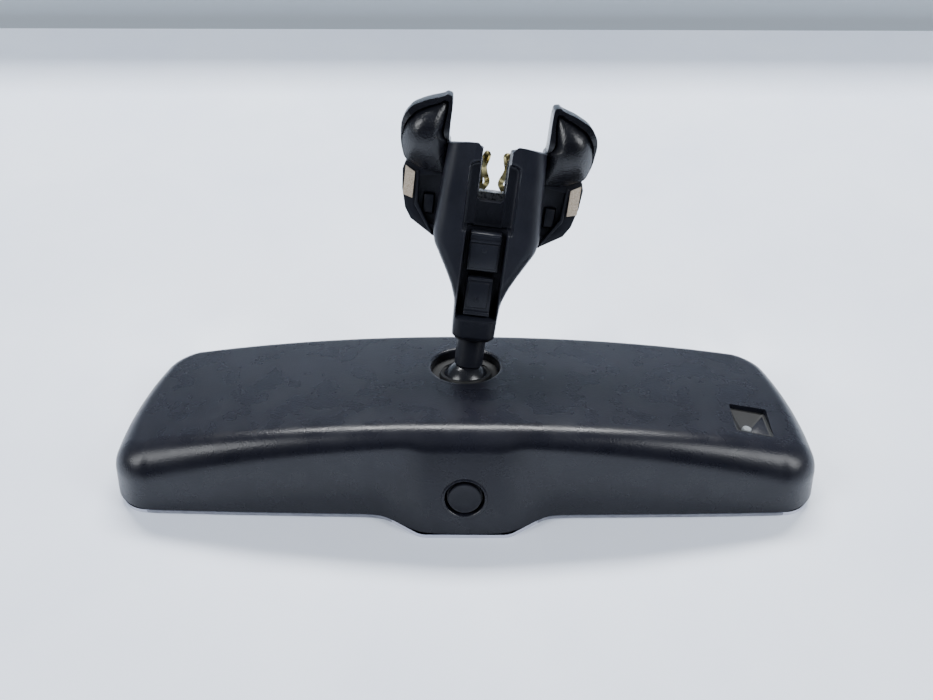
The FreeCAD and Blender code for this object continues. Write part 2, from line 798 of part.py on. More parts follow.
def socket_head(name, i):
    turn = "%d" % (30 + 120 * i)
    return rod(name, "socket_screw_radius*1.7", "clamp_height - 1.2", "clamp_height",
               "socket_screw_circle*cos(%s)" % turn, "socket_screw_circle*sin(%s)" % turn)


# ---- arm

def ball_stud():
    """Ball and neck in one, with a bore for the wires."""
    solid = joined("StudSolid", [ball("StudBall", "ball_radius"),
                                 rod("StudNeck", "neck_radius", "0", "neck_end")])
    bore = rod("StudBore", "wire_bore_radius", "-ball_radius - 1", "neck_end + 1")
    keep(placed(cut("Stud", solid, [bore]), arm_frame()), "ball_stud")


def stem_sleeve():
    body = new_body("Sleeve")
    sketch = sketch_on(body, "XY_Plane", "sleeve_start")
    circle(sketch, "sleeve_radius")
    circle(sketch, "neck_radius")
    pad(body, sketch, "collar_start - sleeve_start")
    keep(placed(body, arm_frame()), "stem_sleeve")


def wire_harness():
    """Wires in the stem, ending at the ball and at the trough."""
    keep(placed(rod("Wires", "wire_bore_radius - 0.2", "-ball_radius + 2", "neck_end"), arm_frame()),
         "wire_harness")


def front_page(body, depth):
    """Sketch seen from the arm's front, at a depth in front of the arm's axis."""
    return sketch_on(body, "XZ_Plane", depth)


def arm_shell():
    body = new_body("Arm")
    right = [("collar_half_width", "collar_start"),
             ("throat_half_width", "throat_height"),
             ("shoulder_half_width", "shoulder_height"),
             ("crown_half_width", "arm_top - 1.7"),
             ("fork_half_width + 2.4", "arm_top"),
             ("fork_half_width", "arm_top - 2.4"),
             ("fork_half_width", "fork_floor")]
    sketch = front_page(body, "-arm_back")
    loop(sketch, both_sides(right))
    pad(body, sketch, "arm_front + arm_back")
    for x, z, radius in (("throat_half_width", "throat_height", "throat_round_radius"),
                         ("shoulder_half_width", "shoulder_height", "shoulder_round_radius")):
        corner = Vector(number(x), 0, number(z))

        def bend(edge):
            centre = edge.CenterOfMass
            flat = Vector(abs(centre.x), 0, centre.z)
            return along(edge, Vector(0, 1, 0)) and (flat - corner).Length < 1

        rounded(body, bend, radius)

    def outer_front(edge):
        centre = edge.CenterOfMass
        bounds = edge.BoundBox
        in_front = bounds.YMax < -number("arm_front") + 0.01
        outside = abs(centre.x) > number("collar_half_width") - 0.5
        return in_front and outside and centre.z < number("arm_top") - 3

    rounded(body, outer_front, "arm_edge_radius")
    trough = front_page(body, "arm_front")
    loop(trough, both_sides([("trough_half_width", "trough_start"),
                             ("trough_half_width", "trough_step")]))
    pocket(body, trough, "trough_depth")
    rails = front_page(body, "arm_front")
    loop(rails, both_sides([("rail_half_width", "trough_step - 0.01"), ("rail_half_width", "arm_top + 1")]))
    pocket(body, rails, "rail_recess")
    channel = front_page(body, "arm_front")
    loop(channel, both_sides([("fork_half_width", "trough_step - 0.01"),
                              ("fork_half_width", "arm_top + 1")]))
    pocket(body, channel, "trough_depth")
    back = front_page(body, "-arm_back")
    loop(back, both_sides([("foot_half_width + foot_clearance", "foot_start - foot_clearance"),
                           ("foot_half_width + foot_clearance", "arm_top + 1")]))
    pocket(body, back, "foot_thickness + 1", backwards=True)
    bore = sketch_on(body, "XY_Plane", "collar_start - 1")
    circle(bore, "neck_radius")
    pocket(body, bore, "neck_end - collar_start + 1", backwards=True)
    screws = front_page(body, "arm_front")
    for sign in ("", "-"):
        circle(screws, "foot_screw_radius", sign + "foot_screw_spacing", "foot_screw_height")
    pocket(body, screws, "arm_front + arm_back")
    above = box("AboveSlope", ("-wing_outer", "wing_outer"), ("-arm_front", "4*arm_front"), ("0", "arm_top/2"))
    tip = Placement(Vector(0, -number("arm_front"), number("arm_top")),
                    Rotation(Vector(1, 0, 0), -number("arm_top_slope")))
    front = Placement(Vector(0, number("arm_front"), 0), Rotation())
    sloped = cut("SlopedArm", body, [placed(above, tip.multiply(front))])
    keep(placed(sloped, arm_frame()), "arm_shell")


FOOT_BACK = "arm_back - 1"


def foot_plate():
    """Die-cast plate whose slot slides over the button on the windscreen."""
    body = new_body("Foot")
    sketch = front_page(body, "-(%s)" % FOOT_BACK)
    loop(sketch, both_sides([("foot_half_width", "foot_start"),
                             ("foot_half_width", "foot_top"),
                             ("slot_half_width + 1.5", "foot_top"),
                             ("slot_half_width", "foot_top - 1.5"),
                             ("slot_half_width", "slot_floor")]))
    pad(body, sketch, "foot_thickness")
    screws = front_page(body, "0")
    for sign in ("", "-"):
        circle(screws, "foot_screw_radius", sign + "foot_screw_spacing", "foot_screw_height")
    pocket(body, screws, FOOT_BACK + " + 1")
    keep(placed(body, arm_frame()), "foot_plate")


def foot_screws():
    screws = []
    for i, sign in enumerate(("", "-")):
        x, z = sign + "foot_screw_spacing", "foot_screw_height"
        body = new_body("FootScrew%d" % i)
        shank = front_page(body, "-(%s)" % FOOT_BACK)
        circle(shank, "foot_screw_radius", x, z)
        pad(body, shank, FOOT_BACK + " + 4")
        head = front_page(body, "-(%s) - 1" % FOOT_BACK)
        circle(head, "foot_screw_radius*1.9", x, z)
        pad(body, head, "1")
        screws.append(body)
    group = DOC.addObject("Part::Compound", "FootScrews")
    group.Links = screws
    keep(placed(group, arm_frame()), "foot_screws")


def retaining_springs():
    """Bent leaf springs on the two walls of the slot."""
    for side, sign in (("left", "-"), ("right", "")):
        body = new_body(side.title() + "Spring")
        wall = "slot_half_width - 0.1"
        profile = [(wall, "slot_floor + 1"), (wall, "foot_top - 2"),
                   ("slot_half_width - 1.2", "foot_top - 2"), ("slot_half_width - 2.5", "foot_top - 6"),
                   ("slot_half_width - 1.4", "foot_top - 8.5"), ("slot_half_width - 2.6", "foot_top - 11.5"),
                   ("slot_half_width - 1.1", "slot_floor + 1")]
        sketch = front_page(body, "-(%s) + 0.6" % FOOT_BACK)
        loop(sketch, [("%s(%s)" % (sign, x), y) for x, y in profile])
        pad(body, sketch, "spring_width")
        keep(placed(body, arm_frame()), side + "_retaining_spring")


# ---- forked end: wings, side brackets and felt pads

def wing(side, sign):
    """Domed shell beside the fork, open at the back."""
    floor = "wing_floor"
    outline = [("wing_inner + 0.7", floor), ("wing_inner + 0.1", "arm_top - 1"),
               ("wing_inner", "wing_top"), ("wing_inner + 2.4", "wing_top + 0.3"),
               ("wing_outer - 8.5", "wing_top - 2.3"), ("wing_outer - 3.2", "wing_top - 4.6"),
               ("wing_outer - 0.6", "wing_top - 8.4"), ("wing_outer", "wing_top - 11.4"),
               ("wing_outer - 0.7", "wing_top - 17.7"), ("wing_outer - 2.9", "wing_floor + 1.5"),
               ("wing_outer - 9.4", "wing_floor - 0.5")]
    body = new_body(side.title() + "Wing")
    sketch = front_page(body, "-wing_back")
    loop(sketch, [("%s(%s)" % (sign, x), y) for x, y in outline])
    pad(body, sketch, "wing_front + wing_back")
    room = front_page(body, "-wing_back")
    inner = [("wing_inner + 0.7 + wing_wall", "wing_floor + wing_wall"),
             ("wing_inner + wing_wall", "wing_top - wing_wall"),
             ("wing_outer - 9", "wing_top - 2.3 - wing_wall"),
             ("wing_outer - 0.8 - wing_wall", "wing_top - 11.4"),
             ("wing_outer - 1.6 - wing_wall", "wing_top - 17.7"),
             ("wing_outer - 9.4", "wing_floor - 0.5 + wing_wall")]
    loop(room, [("%s(%s)" % (sign, x), y) for x, y in inner])
    pocket(body, room, "wing_front + wing_back - wing_wall", backwards=True)
    return keep(placed(body, arm_frame()), side + "_wing")


def side_bracket(side, sign):
    """Flat bracket under the wing, with a latch slot."""
    top = "wing_floor - bracket_gap"
    outline = [("shoulder_half_width + 0.2", "shoulder_height - 1"), ("wing_outer - 6.5", "bracket_hip_height"),
               ("wing_outer - 4.2", "bracket_hip_height + 3.7"),
               ("wing_outer - 2.4", "bracket_bulge_height"),
               ("wing_outer - 2.0", "wing_floor - 2"), ("wing_outer - 2.9", "wing_floor + 1"),
               ("wing_outer - 9.4", "wing_floor - 1"), ("wing_inner + 0.7", top)]
    body = new_body(side.title() + "Bracket")
    sketch = front_page(body, "-bracket_back")
    loop(sketch, [("%s(%s)" % (sign, x), y) for x, y in outline])
    pad(body, sketch, "bracket_back + bracket_front")
    slot = front_page(body, "bracket_front")
    inner = "shoulder_half_width + 1.6"
    outer = inner + " + latch_slot_width"
    start, end = "latch_slot_start", "latch_slot_start + latch_slot_height"
    loop(slot, [("%s(%s)" % (sign, inner), start), ("%s(%s)" % (sign, outer), start),
                ("%s(%s)" % (sign, outer), end), ("%s(%s)" % (sign, inner), end)])
    pocket(body, slot, "bracket_front + bracket_back")
    return keep(placed(body, arm_frame()), side + "_bracket")


def felt_pad(side, sign):
    """Felt strip on the outer edge of the bracket."""
    body = new_body(side.title() + "Pad")
    sketch = front_page(body, "bracket_front")
    x = "wing_outer - 3.0"
    loop(sketch, [("%s(%s - pad_width)" % (sign, x), "pad_start"),
                  ("%s(%s)" % (sign, x), "pad_start + pad_slant"),
                  ("%s(%s)" % (sign, x), "pad_start + pad_slant + pad_length"),
                  ("%s(%s - pad_width)" % (sign, x), "pad_start + pad_length - pad_slant")])
    pad(body, sketch, "pad_thickness")
    return keep(placed(body, arm_frame()), side + "_felt_pad")


def forked_end():
    for side, sign in (("left", "-"), ("right", "")):
        wing(side, sign)
        side_bracket(side, sign)
        felt_pad(side, sign)


# ---- connectors in the trough

PLUG_FRONT = "arm_front - trough_depth + plug_height"


def trough_connectors():
    rows = {"lower_connector": ("lower_plug_half", "lower_plug_start", "lower_plug_end", "lower_plug_start"),
            "upper_connector": ("upper_plug_half", "upper_plug_start", "upper_plug_end",
                                "upper_plug_end - plug_ledge")}
    for name, (half, start, end, ledge) in rows.items():
        depth = ("-(%s)" % PLUG_FRONT, "-(arm_front - trough_depth)")
        case = box(name + "_case", ("-" + half, half), depth, (start, end))
        lip = box(name + "_lip", ("-" + half, half), ("-(%s) - 0.8" % PLUG_FRONT, depth[1]),
                  (ledge, ledge + " + plug_ledge"))
        keep(placed(joined(name + "_solid", [case, lip]), arm_frame()), name)


# ---- build, check and write

def check(things):
    """Stop on a failed object or an empty or invalid sub-part."""
    for thing in DOC.Objects:
        if set(thing.State) & {"Invalid", "Error"}:
            raise ValueError("%s failed" % thing.Label)
    for thing in things:
        if thing.Shape.isNull() or not thing.Shape.isValid():
            raise ValueError("%s has no valid shape" % thing.Label)


for build in (back_housing, front_glass, epoxy_seal, rear_glass, bus_clips, foam_pad,
              carrier_plate, circuit_board, board_screws, board_parts, sensor_window,
              dimming_button, dimming_switch, ball_seats, ball_socket, ball_stud, stem_sleeve,
              wire_harness, arm_shell, foot_plate, foot_screws, retaining_springs, forked_end,
              trough_connectors):
    build()
DOC.recompute()
check(NODES)
os.makedirs("parts", exist_ok=True)
for node in NODES:
    node.Shape.exportStep("parts/%s.step" % node.Label)
    print("%-24s %8.1f mm3 %d solids" % (node.Label, node.Shape.Volume, len(node.Shape.Solids)))
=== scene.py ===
# %% [markdown]
# # An interior rear-view mirror
# The object is a car's dimming mirror, lying on its glass with its chin towards us. The packed
# CAD model is loaded as a fixed frame. It says where everything is. This lesson then makes the
# surfaces that a viewer sees: the grained back shell, the arm with its trough, the two wings of
# the fork, and a finish for every part. All lengths are written in millimetres and turned to
# metres in one place.

# %% Load the frame
import math

import bmesh
import bpy
import numpy as np
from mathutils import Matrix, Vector


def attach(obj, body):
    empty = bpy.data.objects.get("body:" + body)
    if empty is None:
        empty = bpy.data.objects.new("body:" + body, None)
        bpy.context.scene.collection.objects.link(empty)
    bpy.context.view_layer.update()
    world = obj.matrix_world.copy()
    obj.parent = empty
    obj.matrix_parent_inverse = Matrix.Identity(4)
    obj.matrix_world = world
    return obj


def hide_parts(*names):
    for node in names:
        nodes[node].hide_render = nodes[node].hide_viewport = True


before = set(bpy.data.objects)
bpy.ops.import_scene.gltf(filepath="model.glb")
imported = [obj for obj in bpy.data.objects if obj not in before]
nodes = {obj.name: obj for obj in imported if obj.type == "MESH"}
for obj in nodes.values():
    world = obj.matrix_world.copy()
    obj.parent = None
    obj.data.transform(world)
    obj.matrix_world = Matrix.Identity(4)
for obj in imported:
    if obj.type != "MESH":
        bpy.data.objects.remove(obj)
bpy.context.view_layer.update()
MM = 0.001
print("CAD nodes:", len(nodes))

# %% [markdown]
# ## Frames of the object
# The ball joint's centre is the point that the arm, the socket and the hole in the back share.
# The arm leans back and a little to the right. A rotation matrix built once from those two
# angles turns any point drawn on an upright arm into its place on the leaned one.

# %% Ball centre, arm frame, socket frame, button frame
BALL = np.array([0.0, -0.4, 17.8])
ARM_BACK = math.radians(27)
ARM_SIDE = math.radians(7)
HOLE_TILT = math.radians(16)
BUTTON_LEAN = math.radians(23)
BUTTON = np.array([0.0, -50.5, 16.45])


def turn_x(angle):
    """Rotation about X: Y turns towards Z."""
    c, s = math.cos(angle), math.sin(angle)
    return np.array([[1, 0, 0], [0, c, -s], [0, s, c]])


def turn_y(angle):
    """Rotation about Y: Z turns towards X."""
    c, s = math.cos(angle), math.sin(angle)
    return np.array([[c, 0, s], [0, 1, 0], [-s, 0, c]])


ARM_TURN = turn_x(-ARM_BACK) @ turn_y(ARM_SIDE)
SOCKET_TURN = turn_x(-HOLE_TILT)
BUTTON_TURN = turn_x(math.pi / 2 - BUTTON_LEAN)


def on_arm(points):
    """Place = ball centre + arm rotation x point, for an array whose last axis is x, y, z."""
    return BALL + np.asarray(points, float) @ ARM_TURN.T


def on_socket(points):
    return BALL + np.asarray(points, float) @ SOCKET_TURN.T


def on_button(points):
    return BUTTON + np.asarray(points, float) @ BUTTON_TURN.T


print("arm axis:", np.round(ARM_TURN[:, 2], 3))

# %% [markdown]
# ## Making meshes from grids
# A surface here is an array of points with rows and columns. Neighbouring rows and columns are
# joined by four-sided faces, all at once with index arithmetic. Where a grid closes on itself or
# shrinks to a pole, the doubled points are merged afterwards.

# %% Grid, mesh and piece helpers
def grid_faces(rows, columns, start, wrap):
    """Corner numbers of the faces of a rows x columns grid; wrap joins the last column to the first."""
    r = np.arange(rows - 1)[:, None]
    c = np.arange(columns if wrap else columns - 1)[None, :]
    after = (c + 1) % columns
    quads = np.stack([r * columns + c + 0 * r, r * columns + after,
                      (r + 1) * columns + after, (r + 1) * columns + c], axis=-1)
    return quads.reshape(-1, 4) + start


def make_mesh(name, grids, caps=()):
    """One object from several (points, wrap) grids and flat caps given as point loops, in mm."""
    points, faces, start = [], [], 0
    for grid, wrap in grids:
        rows, columns, _ = grid.shape
        points.append(grid.reshape(-1, 3))
        faces += grid_faces(rows, columns, start, wrap).tolist()
        start += rows * columns
    for cap in caps:
        points.append(cap)
        faces.append(list(range(start, start + len(cap))))
        start += len(cap)
    mesh = bpy.data.meshes.new(name)
    mesh.from_pydata((np.concatenate(points) * MM).tolist(), [], faces)
    thing = bpy.data.objects.new(name, mesh)
    bpy.context.collection.objects.link(thing)
    tidy_mesh(mesh)
    return thing


def tidy_mesh(mesh, merge=0.01):
    """Merge doubled points, drop empty faces and turn all the normals outwards."""
    work = bmesh.new()
    work.from_mesh(mesh)
    bmesh.ops.remove_doubles(work, verts=work.verts, dist=merge * MM)
    bmesh.ops.dissolve_degenerate(work, edges=work.edges, dist=0.001 * MM)
    bmesh.ops.recalc_face_normals(work, faces=work.faces)
    work.to_mesh(mesh)
    work.free()


def settle(thing, sharp=35):
    """Apply a piece's modifiers, shade it smooth and mark the edges sharper than an angle."""
    graph = bpy.context.evaluated_depsgraph_get()
    mesh = bpy.data.meshes.new_from_object(thing.evaluated_get(graph))
    thing.modifiers.clear()
    thing.data = mesh
    mesh.shade_smooth()
    mesh.set_sharp_from_angle(angle=math.radians(sharp))
    return thing


def bevel(thing, width, segments=3, angle=30):
    """Round the edges of a piece that are sharper than an angle."""
    edge = thing.modifiers.new("edges", "BEVEL")
    edge.width = width * MM
    edge.segments = segments
    edge.limit_method = "ANGLE"
    edge.angle_limit = math.radians(angle)
    edge.use_clamp_overlap = True
    return thing


def carve(thing, tools):
    """Cut tools out of a piece, then remove them."""
    for tool in tools:
        cut = thing.modifiers.new("cut", "BOOLEAN")
        cut.operation = "DIFFERENCE"
        cut.solver = "EXACT"
        cut.object = tool
    graph = bpy.context.evaluated_depsgraph_get()
    thing.data = bpy.data.meshes.new_from_object(thing.evaluated_get(graph))
    thing.modifiers.clear()
    for tool in tools:
        bpy.data.objects.remove(tool)
    return thing


def corner_arc(before, corner, after, t):
    """Rational quadratic curve from before to after that leaves and arrives towards the corner."""
    t = t[..., None]
    w = math.sqrt(0.5)
    top = (1 - t) ** 2 * before + 2 * w * t * (1 - t) * corner + t ** 2 * after
    return top / ((1 - t) ** 2 + 2 * w * t * (1 - t) + t ** 2)


# %% [markdown]
# ## The floor, the light and the camera
# The table is pale. A wide, narrow softbox high behind the object draws the bright line along the
# crest of the back, and leaves the face under it dark. One softbox at each side lights the table.

# %% Camera
camera_data = bpy.data.cameras.new("camera")
camera = bpy.data.objects.new("camera", camera_data)
bpy.context.collection.objects.link(camera)
bpy.context.scene.camera = camera
IMAGE_WIDTH = 933
FOCAL_PIXELS = 1050
camera_data.sensor_width = 36
camera_data.lens = FOCAL_PIXELS / IMAGE_WIDTH * camera_data.sensor_width
camera_data.clip_start = 0.01
elevation = math.radians(48)
azimuth = math.radians(0.3)
distance = 424.85
target = np.array([0.2, 32.46, 0.0])
back = np.array([math.sin(azimuth) * math.cos(elevation), -math.cos(azimuth) * math.cos(elevation),
                 math.sin(elevation)])
camera.location = Vector((target + back * distance) * MM)
camera.rotation_euler = Vector(-back).to_track_quat("-Z", "Y").to_euler()
print("lens %.1f mm" % camera_data.lens)

# %% World and lights
world = bpy.data.worlds.new("studio")
bpy.context.scene.world = world
world.use_nodes = True
world.node_tree.nodes["Background"].inputs["Color"].default_value = (0.76, 0.85, 1.0, 1)
world.node_tree.nodes["Background"].inputs["Strength"].default_value = 0.24


def softbox(name, place, aim, size, power, colour=(1, 1, 1)):
    """Rectangular area light at a place in metres, aimed at a point."""
    data = bpy.data.lights.new(name, "AREA")
    data.shape = "RECTANGLE"
    data.size, data.size_y = size
    data.energy = power
    data.color = colour
    lamp = bpy.data.objects.new(name, data)
    bpy.context.collection.objects.link(lamp)
    lamp.location = place
    lamp.rotation_euler = (Vector(aim) - Vector(place)).to_track_quat("-Z", "Y").to_euler()
    return lamp


softbox("behind", (0.0, 0.80, 1.06), (0, 0, 0), (1.1, 0.20), 34.0, (0.98, 0.99, 1.0))
softbox("left_side", (-1.00, -0.30, 0.85), (0, -0.05, 0), (0.5, 0.9), 14.0, (0.96, 0.98, 1.0))
softbox("right_side", (1.00, -0.30, 0.85), (0, -0.05, 0), (0.5, 0.9), 14.0, (0.96, 0.98, 1.0))

# %% [markdown]
# ## Materials
# Each finish is a Principled shader with a few procedural nodes: a pattern in object
# coordinates whose scale comes from a real grain size, used for bump, roughness and slight
# colour variation. Numbers that are the same everywhere stay on the shader's own sockets.

# %% Colour and node helpers


def linear(hex_code, alpha=1.0):
    """sRGB hex value as a linear colour."""
    channels = [int(hex_code[i:i + 2], 16) / 255 for i in (1, 3, 5)]
    return tuple(c / 12.92 if c <= 0.04045 else ((c + 0.055) / 1.055) ** 2.4 for c in channels) + (alpha,)


def add_node(tree, kind, settings=(), **inputs):
    """Add a node, set its properties and fill its sockets with values or links."""
    node = tree.nodes.new(kind)
    for key, value in dict(settings).items():
        setattr(node, key, value)
    for key, value in inputs.items():
        name = key.replace("_", " ")
        socket = node.inputs[int(key[1:])] if key[0] == "i" and key[1:].isdigit() else node.inputs[name]
        if isinstance(value, bpy.types.NodeSocket):
            tree.links.new(value, socket)
        else:
            socket.default_value = value
    return node


def start_material(name, colour, roughness, metallic=0.0, ior=1.5):
    """New material, its node tree and its Principled shader."""
    material = bpy.data.materials.new(name)
    material.use_nodes = True
    tree = material.node_tree
    shader = tree.nodes["Principled BSDF"]
    shader.inputs["Base Color"].default_value = linear(colour)
    shader.inputs["Roughness"].default_value = roughness
    shader.inputs["Metallic"].default_value = metallic
    if metallic == 0:
        shader.inputs["IOR"].default_value = ior
    material.diffuse_color = linear(colour)
    return material, tree, shader


def object_space(tree):
    return add_node(tree, "ShaderNodeTexCoord").outputs["Object"]


def noise(tree, where, cell, detail=3.0, rough=0.5):
    """Noise whose blobs are about one cell wide, in millimetres."""
    return add_node(tree, "ShaderNodeTexNoise", Vector=where, Scale=1 / (cell * MM),
                    Detail=detail, Roughness=rough).outputs["Fac"]


def spread(tree, value, low, high, from_low=0.35, from_high=0.65):
    """Stretch a noise's middle range to low..high."""
    return add_node(tree, "ShaderNodeMapRange", i0=value, i1=from_low, i2=from_high,
                    i3=low, i4=high).outputs[0]


def vary_colour(tree, shader, factor, dark, light):
    """Mix two colours by a pattern into the base colour."""
    mix = add_node(tree, "ShaderNodeMix", {"data_type": "RGBA"}, i0=factor, i6=linear(dark),
                   i7=linear(light))
    tree.links.new(mix.outputs[2], shader.inputs["Base Color"])
    return mix


def relief(tree, shader, height, depth, strength=1.0):
    """Bump of a real depth in millimetres."""
    bump = add_node(tree, "ShaderNodeBump", Height=height, Distance=depth * MM, Strength=strength)
    tree.links.new(bump.outputs["Normal"], shader.inputs["Normal"])
    return bump


def moulded_plastic(name, dark, light, roughness, grain, depth, gloss=0.5):
    """Moulded plastic with an etched grain: fine cells for the bump, broad noise for the tone.

    Pits of the grain trap some of the reflected light, which the gloss level takes off.
    """
    material, tree, shader = start_material(name, dark, roughness)
    shader.inputs["Specular IOR Level"].default_value = gloss
    where = object_space(tree)
    cells = add_node(tree, "ShaderNodeTexVoronoi", {"feature": "SMOOTH_F1"}, Vector=where,
                     Scale=1 / (grain * MM), Smoothness=0.6).outputs["Distance"]
    fine = noise(tree, where, grain * 0.8, 2.0)
    height = add_node(tree, "ShaderNodeMath", {"operation": "ADD"}, i0=cells, i1=fine).outputs[0]
    relief(tree, shader, height, depth)
    broad = noise(tree, where, 22, 4.0)
    vary_colour(tree, shader, spread(tree, broad, 0, 1), dark, light)
    rough = spread(tree, noise(tree, where, 9, 3.0), roughness - 0.04, roughness + 0.05)
    tree.links.new(rough, shader.inputs["Roughness"])
    return material


# %% Finishes of the object
# Back shell: ABS with a spark-eroded grain of 0.6 mm.
shell_plastic = moulded_plastic("grained_abs_shell", "#12131b", "#171820", 0.28, 0.6, 0.03, 0.32)
# Button: the same plastic with a finer grain.
button_plastic = moulded_plastic("fine_grain_abs_button", "#101118", "#15161d", 0.40, 0.4, 0.015, 0.28)
# Arm: glass-filled nylon, satin, with almost no grain.
arm_plastic = moulded_plastic("satin_nylon_arm", "#14161e", "#191b24", 0.42, 0.6, 0.02, 0.34)
# Wings: nylon with a coarse speckle that glints where it faces the light.
wing_plastic = moulded_plastic("speckled_nylon_wings", "#0f1015", "#14151b", 0.26, 0.55, 0.06, 0.45)
# Connectors: plain moulded plastic; the trough takes the arm's finish.
connector_plastic = moulded_plastic("connector_pbt", "#181a22", "#1e2029", 0.34, 0.5, 0.012)
# Inside pieces: black plastic pushed to near black, a painted shade for the insides of the stem hole and
# the sensor window.
black_inside_plastic_painted_shade = moulded_plastic("black_inside_plastic_with_painted_shade", "#07080a", "#0c0d10", 0.6, 0.6, 0.02)


def glossy_acetal():
    """Ball seats and socket are acetal; here only the inner seat's dome takes this smooth finish with faint
    turning marks.
    """
    material, tree, shader = start_material("smooth_acetal_seat", "#14151a", 0.2, ior=1.5)
    where = object_space(tree)
    fine = noise(tree, where, 1.6, 3.0)
    relief(tree, shader, fine, 0.006)
    tree.links.new(spread(tree, noise(tree, where, 5), 0.18, 0.28), shader.inputs["Roughness"])
    return material


def coated_steel():
    """Ball stud: steel with a black coating, worn slightly brighter in patches."""
    material, tree, shader = start_material("black_coated_steel_ball", "#101113", 0.24, ior=1.6)
    where = object_space(tree)
    blotch = spread(tree, noise(tree, where, 3, 4.0), 0, 1, 0.5, 0.75)
    vary_colour(tree, shader, blotch, "#0e0f11", "#1b1c1f")
    relief(tree, shader, noise(tree, where, 0.5, 2.0), 0.004)
    return material


def die_cast():
    """Foot plate: die-cast zinc, left rough, with pits of about half a millimetre."""
    material, tree, shader = start_material("rough_die_cast_zinc", "#8a8c8f", 0.48, metallic=1.0)
    where = object_space(tree)
    pits = noise(tree, where, 0.9, 4.0, 0.65)
    relief(tree, shader, pits, 0.12)
    vary_colour(tree, shader, spread(tree, pits, 0, 1), "#55575a", "#b4b6b9")
    tree.links.new(spread(tree, pits, 0.36, 0.6), shader.inputs["Roughness"])
    return material


def yellow_chromate():
    """Springs: spring steel with a yellow chromate, iridescent from gold to pale green."""
    material, tree, shader = start_material("yellow_chromated_steel", "#dcc478", 0.26, metallic=1.0)
    where = object_space(tree)
    drift = noise(tree, where, 4, 3.0)
    vary_colour(tree, shader, spread(tree, drift, 0, 1), "#c9ad55", "#efe3a8")
    relief(tree, shader, noise(tree, where, 0.6, 2.0), 0.006)
    tree.links.new(spread(tree, drift, 0.2, 0.36), shader.inputs["Roughness"])
    return material


def wool_felt():
    """Pads: pressed felt, matted fibres about a fifth of a millimetre wide."""
    material, tree, shader = start_material("pressed_beige_felt", "#b9a894", 0.92)
    where = object_space(tree)
    fibres = noise(tree, where, 0.45, 5.0, 0.7)
    vary_colour(tree, shader, spread(tree, fibres, 0, 1), "#9c8c78", "#cfc2b1")
    relief(tree, shader, fibres, 0.16)
    shader.inputs["Sheen Weight"].default_value = 0.35
    shader.inputs["Sheen Roughness"].default_value = 0.5
    return material


def polished_glass():
    """Mirror glass: a silvered pane; the ground and polished edge is pale, with a faint lilac cast."""
    material, tree, shader = start_material("silvered_glass", "#c9c9d4", 0.08, metallic=1.0)
    where = object_space(tree)
    vary_colour(tree, shader, spread(tree, noise(tree, where, 12, 2.0), 0, 1), "#c2c3ce", "#d3d2dc")
    relief(tree, shader, noise(tree, where, 30, 1.0), 0.002)
    return material


def plain_finish(name, dark, light, roughness, metallic=0.0, cell=1.2, depth=0.01):
    """A simple finish for inner pieces: noise in the tone and a shallow bump."""
    material, tree, shader = start_material(name, dark, roughness, metallic)
    where = object_space(tree)
    pattern = noise(tree, where, cell, 3.0)
    vary_colour(tree, shader, spread(tree, pattern, 0, 1), dark, light)
    relief(tree, shader, pattern, depth)
    return material


acetal = glossy_acetal()
ball_steel = coated_steel()
cast_zinc = die_cast()
gold_steel = yellow_chromate()
felt = wool_felt()
mirror_glass = polished_glass()
ground_edge = plain_finish("ground_glass_edge_finish", "#7f818d", "#8f919d", 0.28, 0.0, 3.0, 0.004)
rear_pane = plain_finish("rear_float_glass", "#9fb0ad", "#aab9b6", 0.08, 0.0, 20, 0.001)
epoxy = plain_finish("grey_epoxy_seal", "#6a6b6d", "#77787a", 0.6)
tinned_copper = plain_finish("tinned_copper_strip", "#a9a29a", "#bdb7ae", 0.3, 1.0)
foam = plain_finish("closed_cell_foam", "#1a1a1b", "#262627", 0.95, 0.0, 0.8, 0.1)
laminate = plain_finish("green_solder_mask", "#0f3a22", "#14482b", 0.35, 0.0, 2.0, 0.01)
zinc_screw = plain_finish("zinc_plated_steel", "#9a9ca0", "#b2b4b8", 0.3, 1.0, 0.8, 0.01)
component = plain_finish("moulded_component_epoxy", "#141416", "#1c1c1f", 0.45)
pipe_plastic = plain_finish("frosted_acrylic_light_pipe", "#6d7073", "#7c8083", 0.34, 0.0, 1.5, 0.01)
wire_cover = plain_finish("pvc_wire_cover", "#131315", "#1b1b1d", 0.5)
print("materials:", len(bpy.data.materials))

# %% [markdown]
# ## The back shell
# The real shell is one ABS moulding: a wall that rises from the rim of the glass, a rounded
# crest, and a long crown. It could be cut from blocks, but a surface drawn from its own lines
# keeps the crest's highlight smooth. Two outlines carry the same number of points: the rim with
# its chin, and the crest line above it. Straight lines join them, a quadratic corner rounds the
# crest, and rings on the crown shrink to a line in the middle.

# %% Crown of the back and its two outlines
LONG = 161
BEND = 14
SIDE = 30


def crown(x, y):
    """Height of the back: a slope from crest to far edge, slightly bulged, arched along the head."""
    s = (y + 41) / 66
    ridge = 39.3 - 0.334 * (y + 41) + 3.2 * s * (1 - s)
    return ridge - x ** 2 / 2 * ((1 - s) / 420 + s / 1000)


def ease(value, softness):
    """Ramp that is 0 below zero and follows the value above, rounded near zero."""
    return (value + np.sqrt(value ** 2 + softness ** 2)) / 2


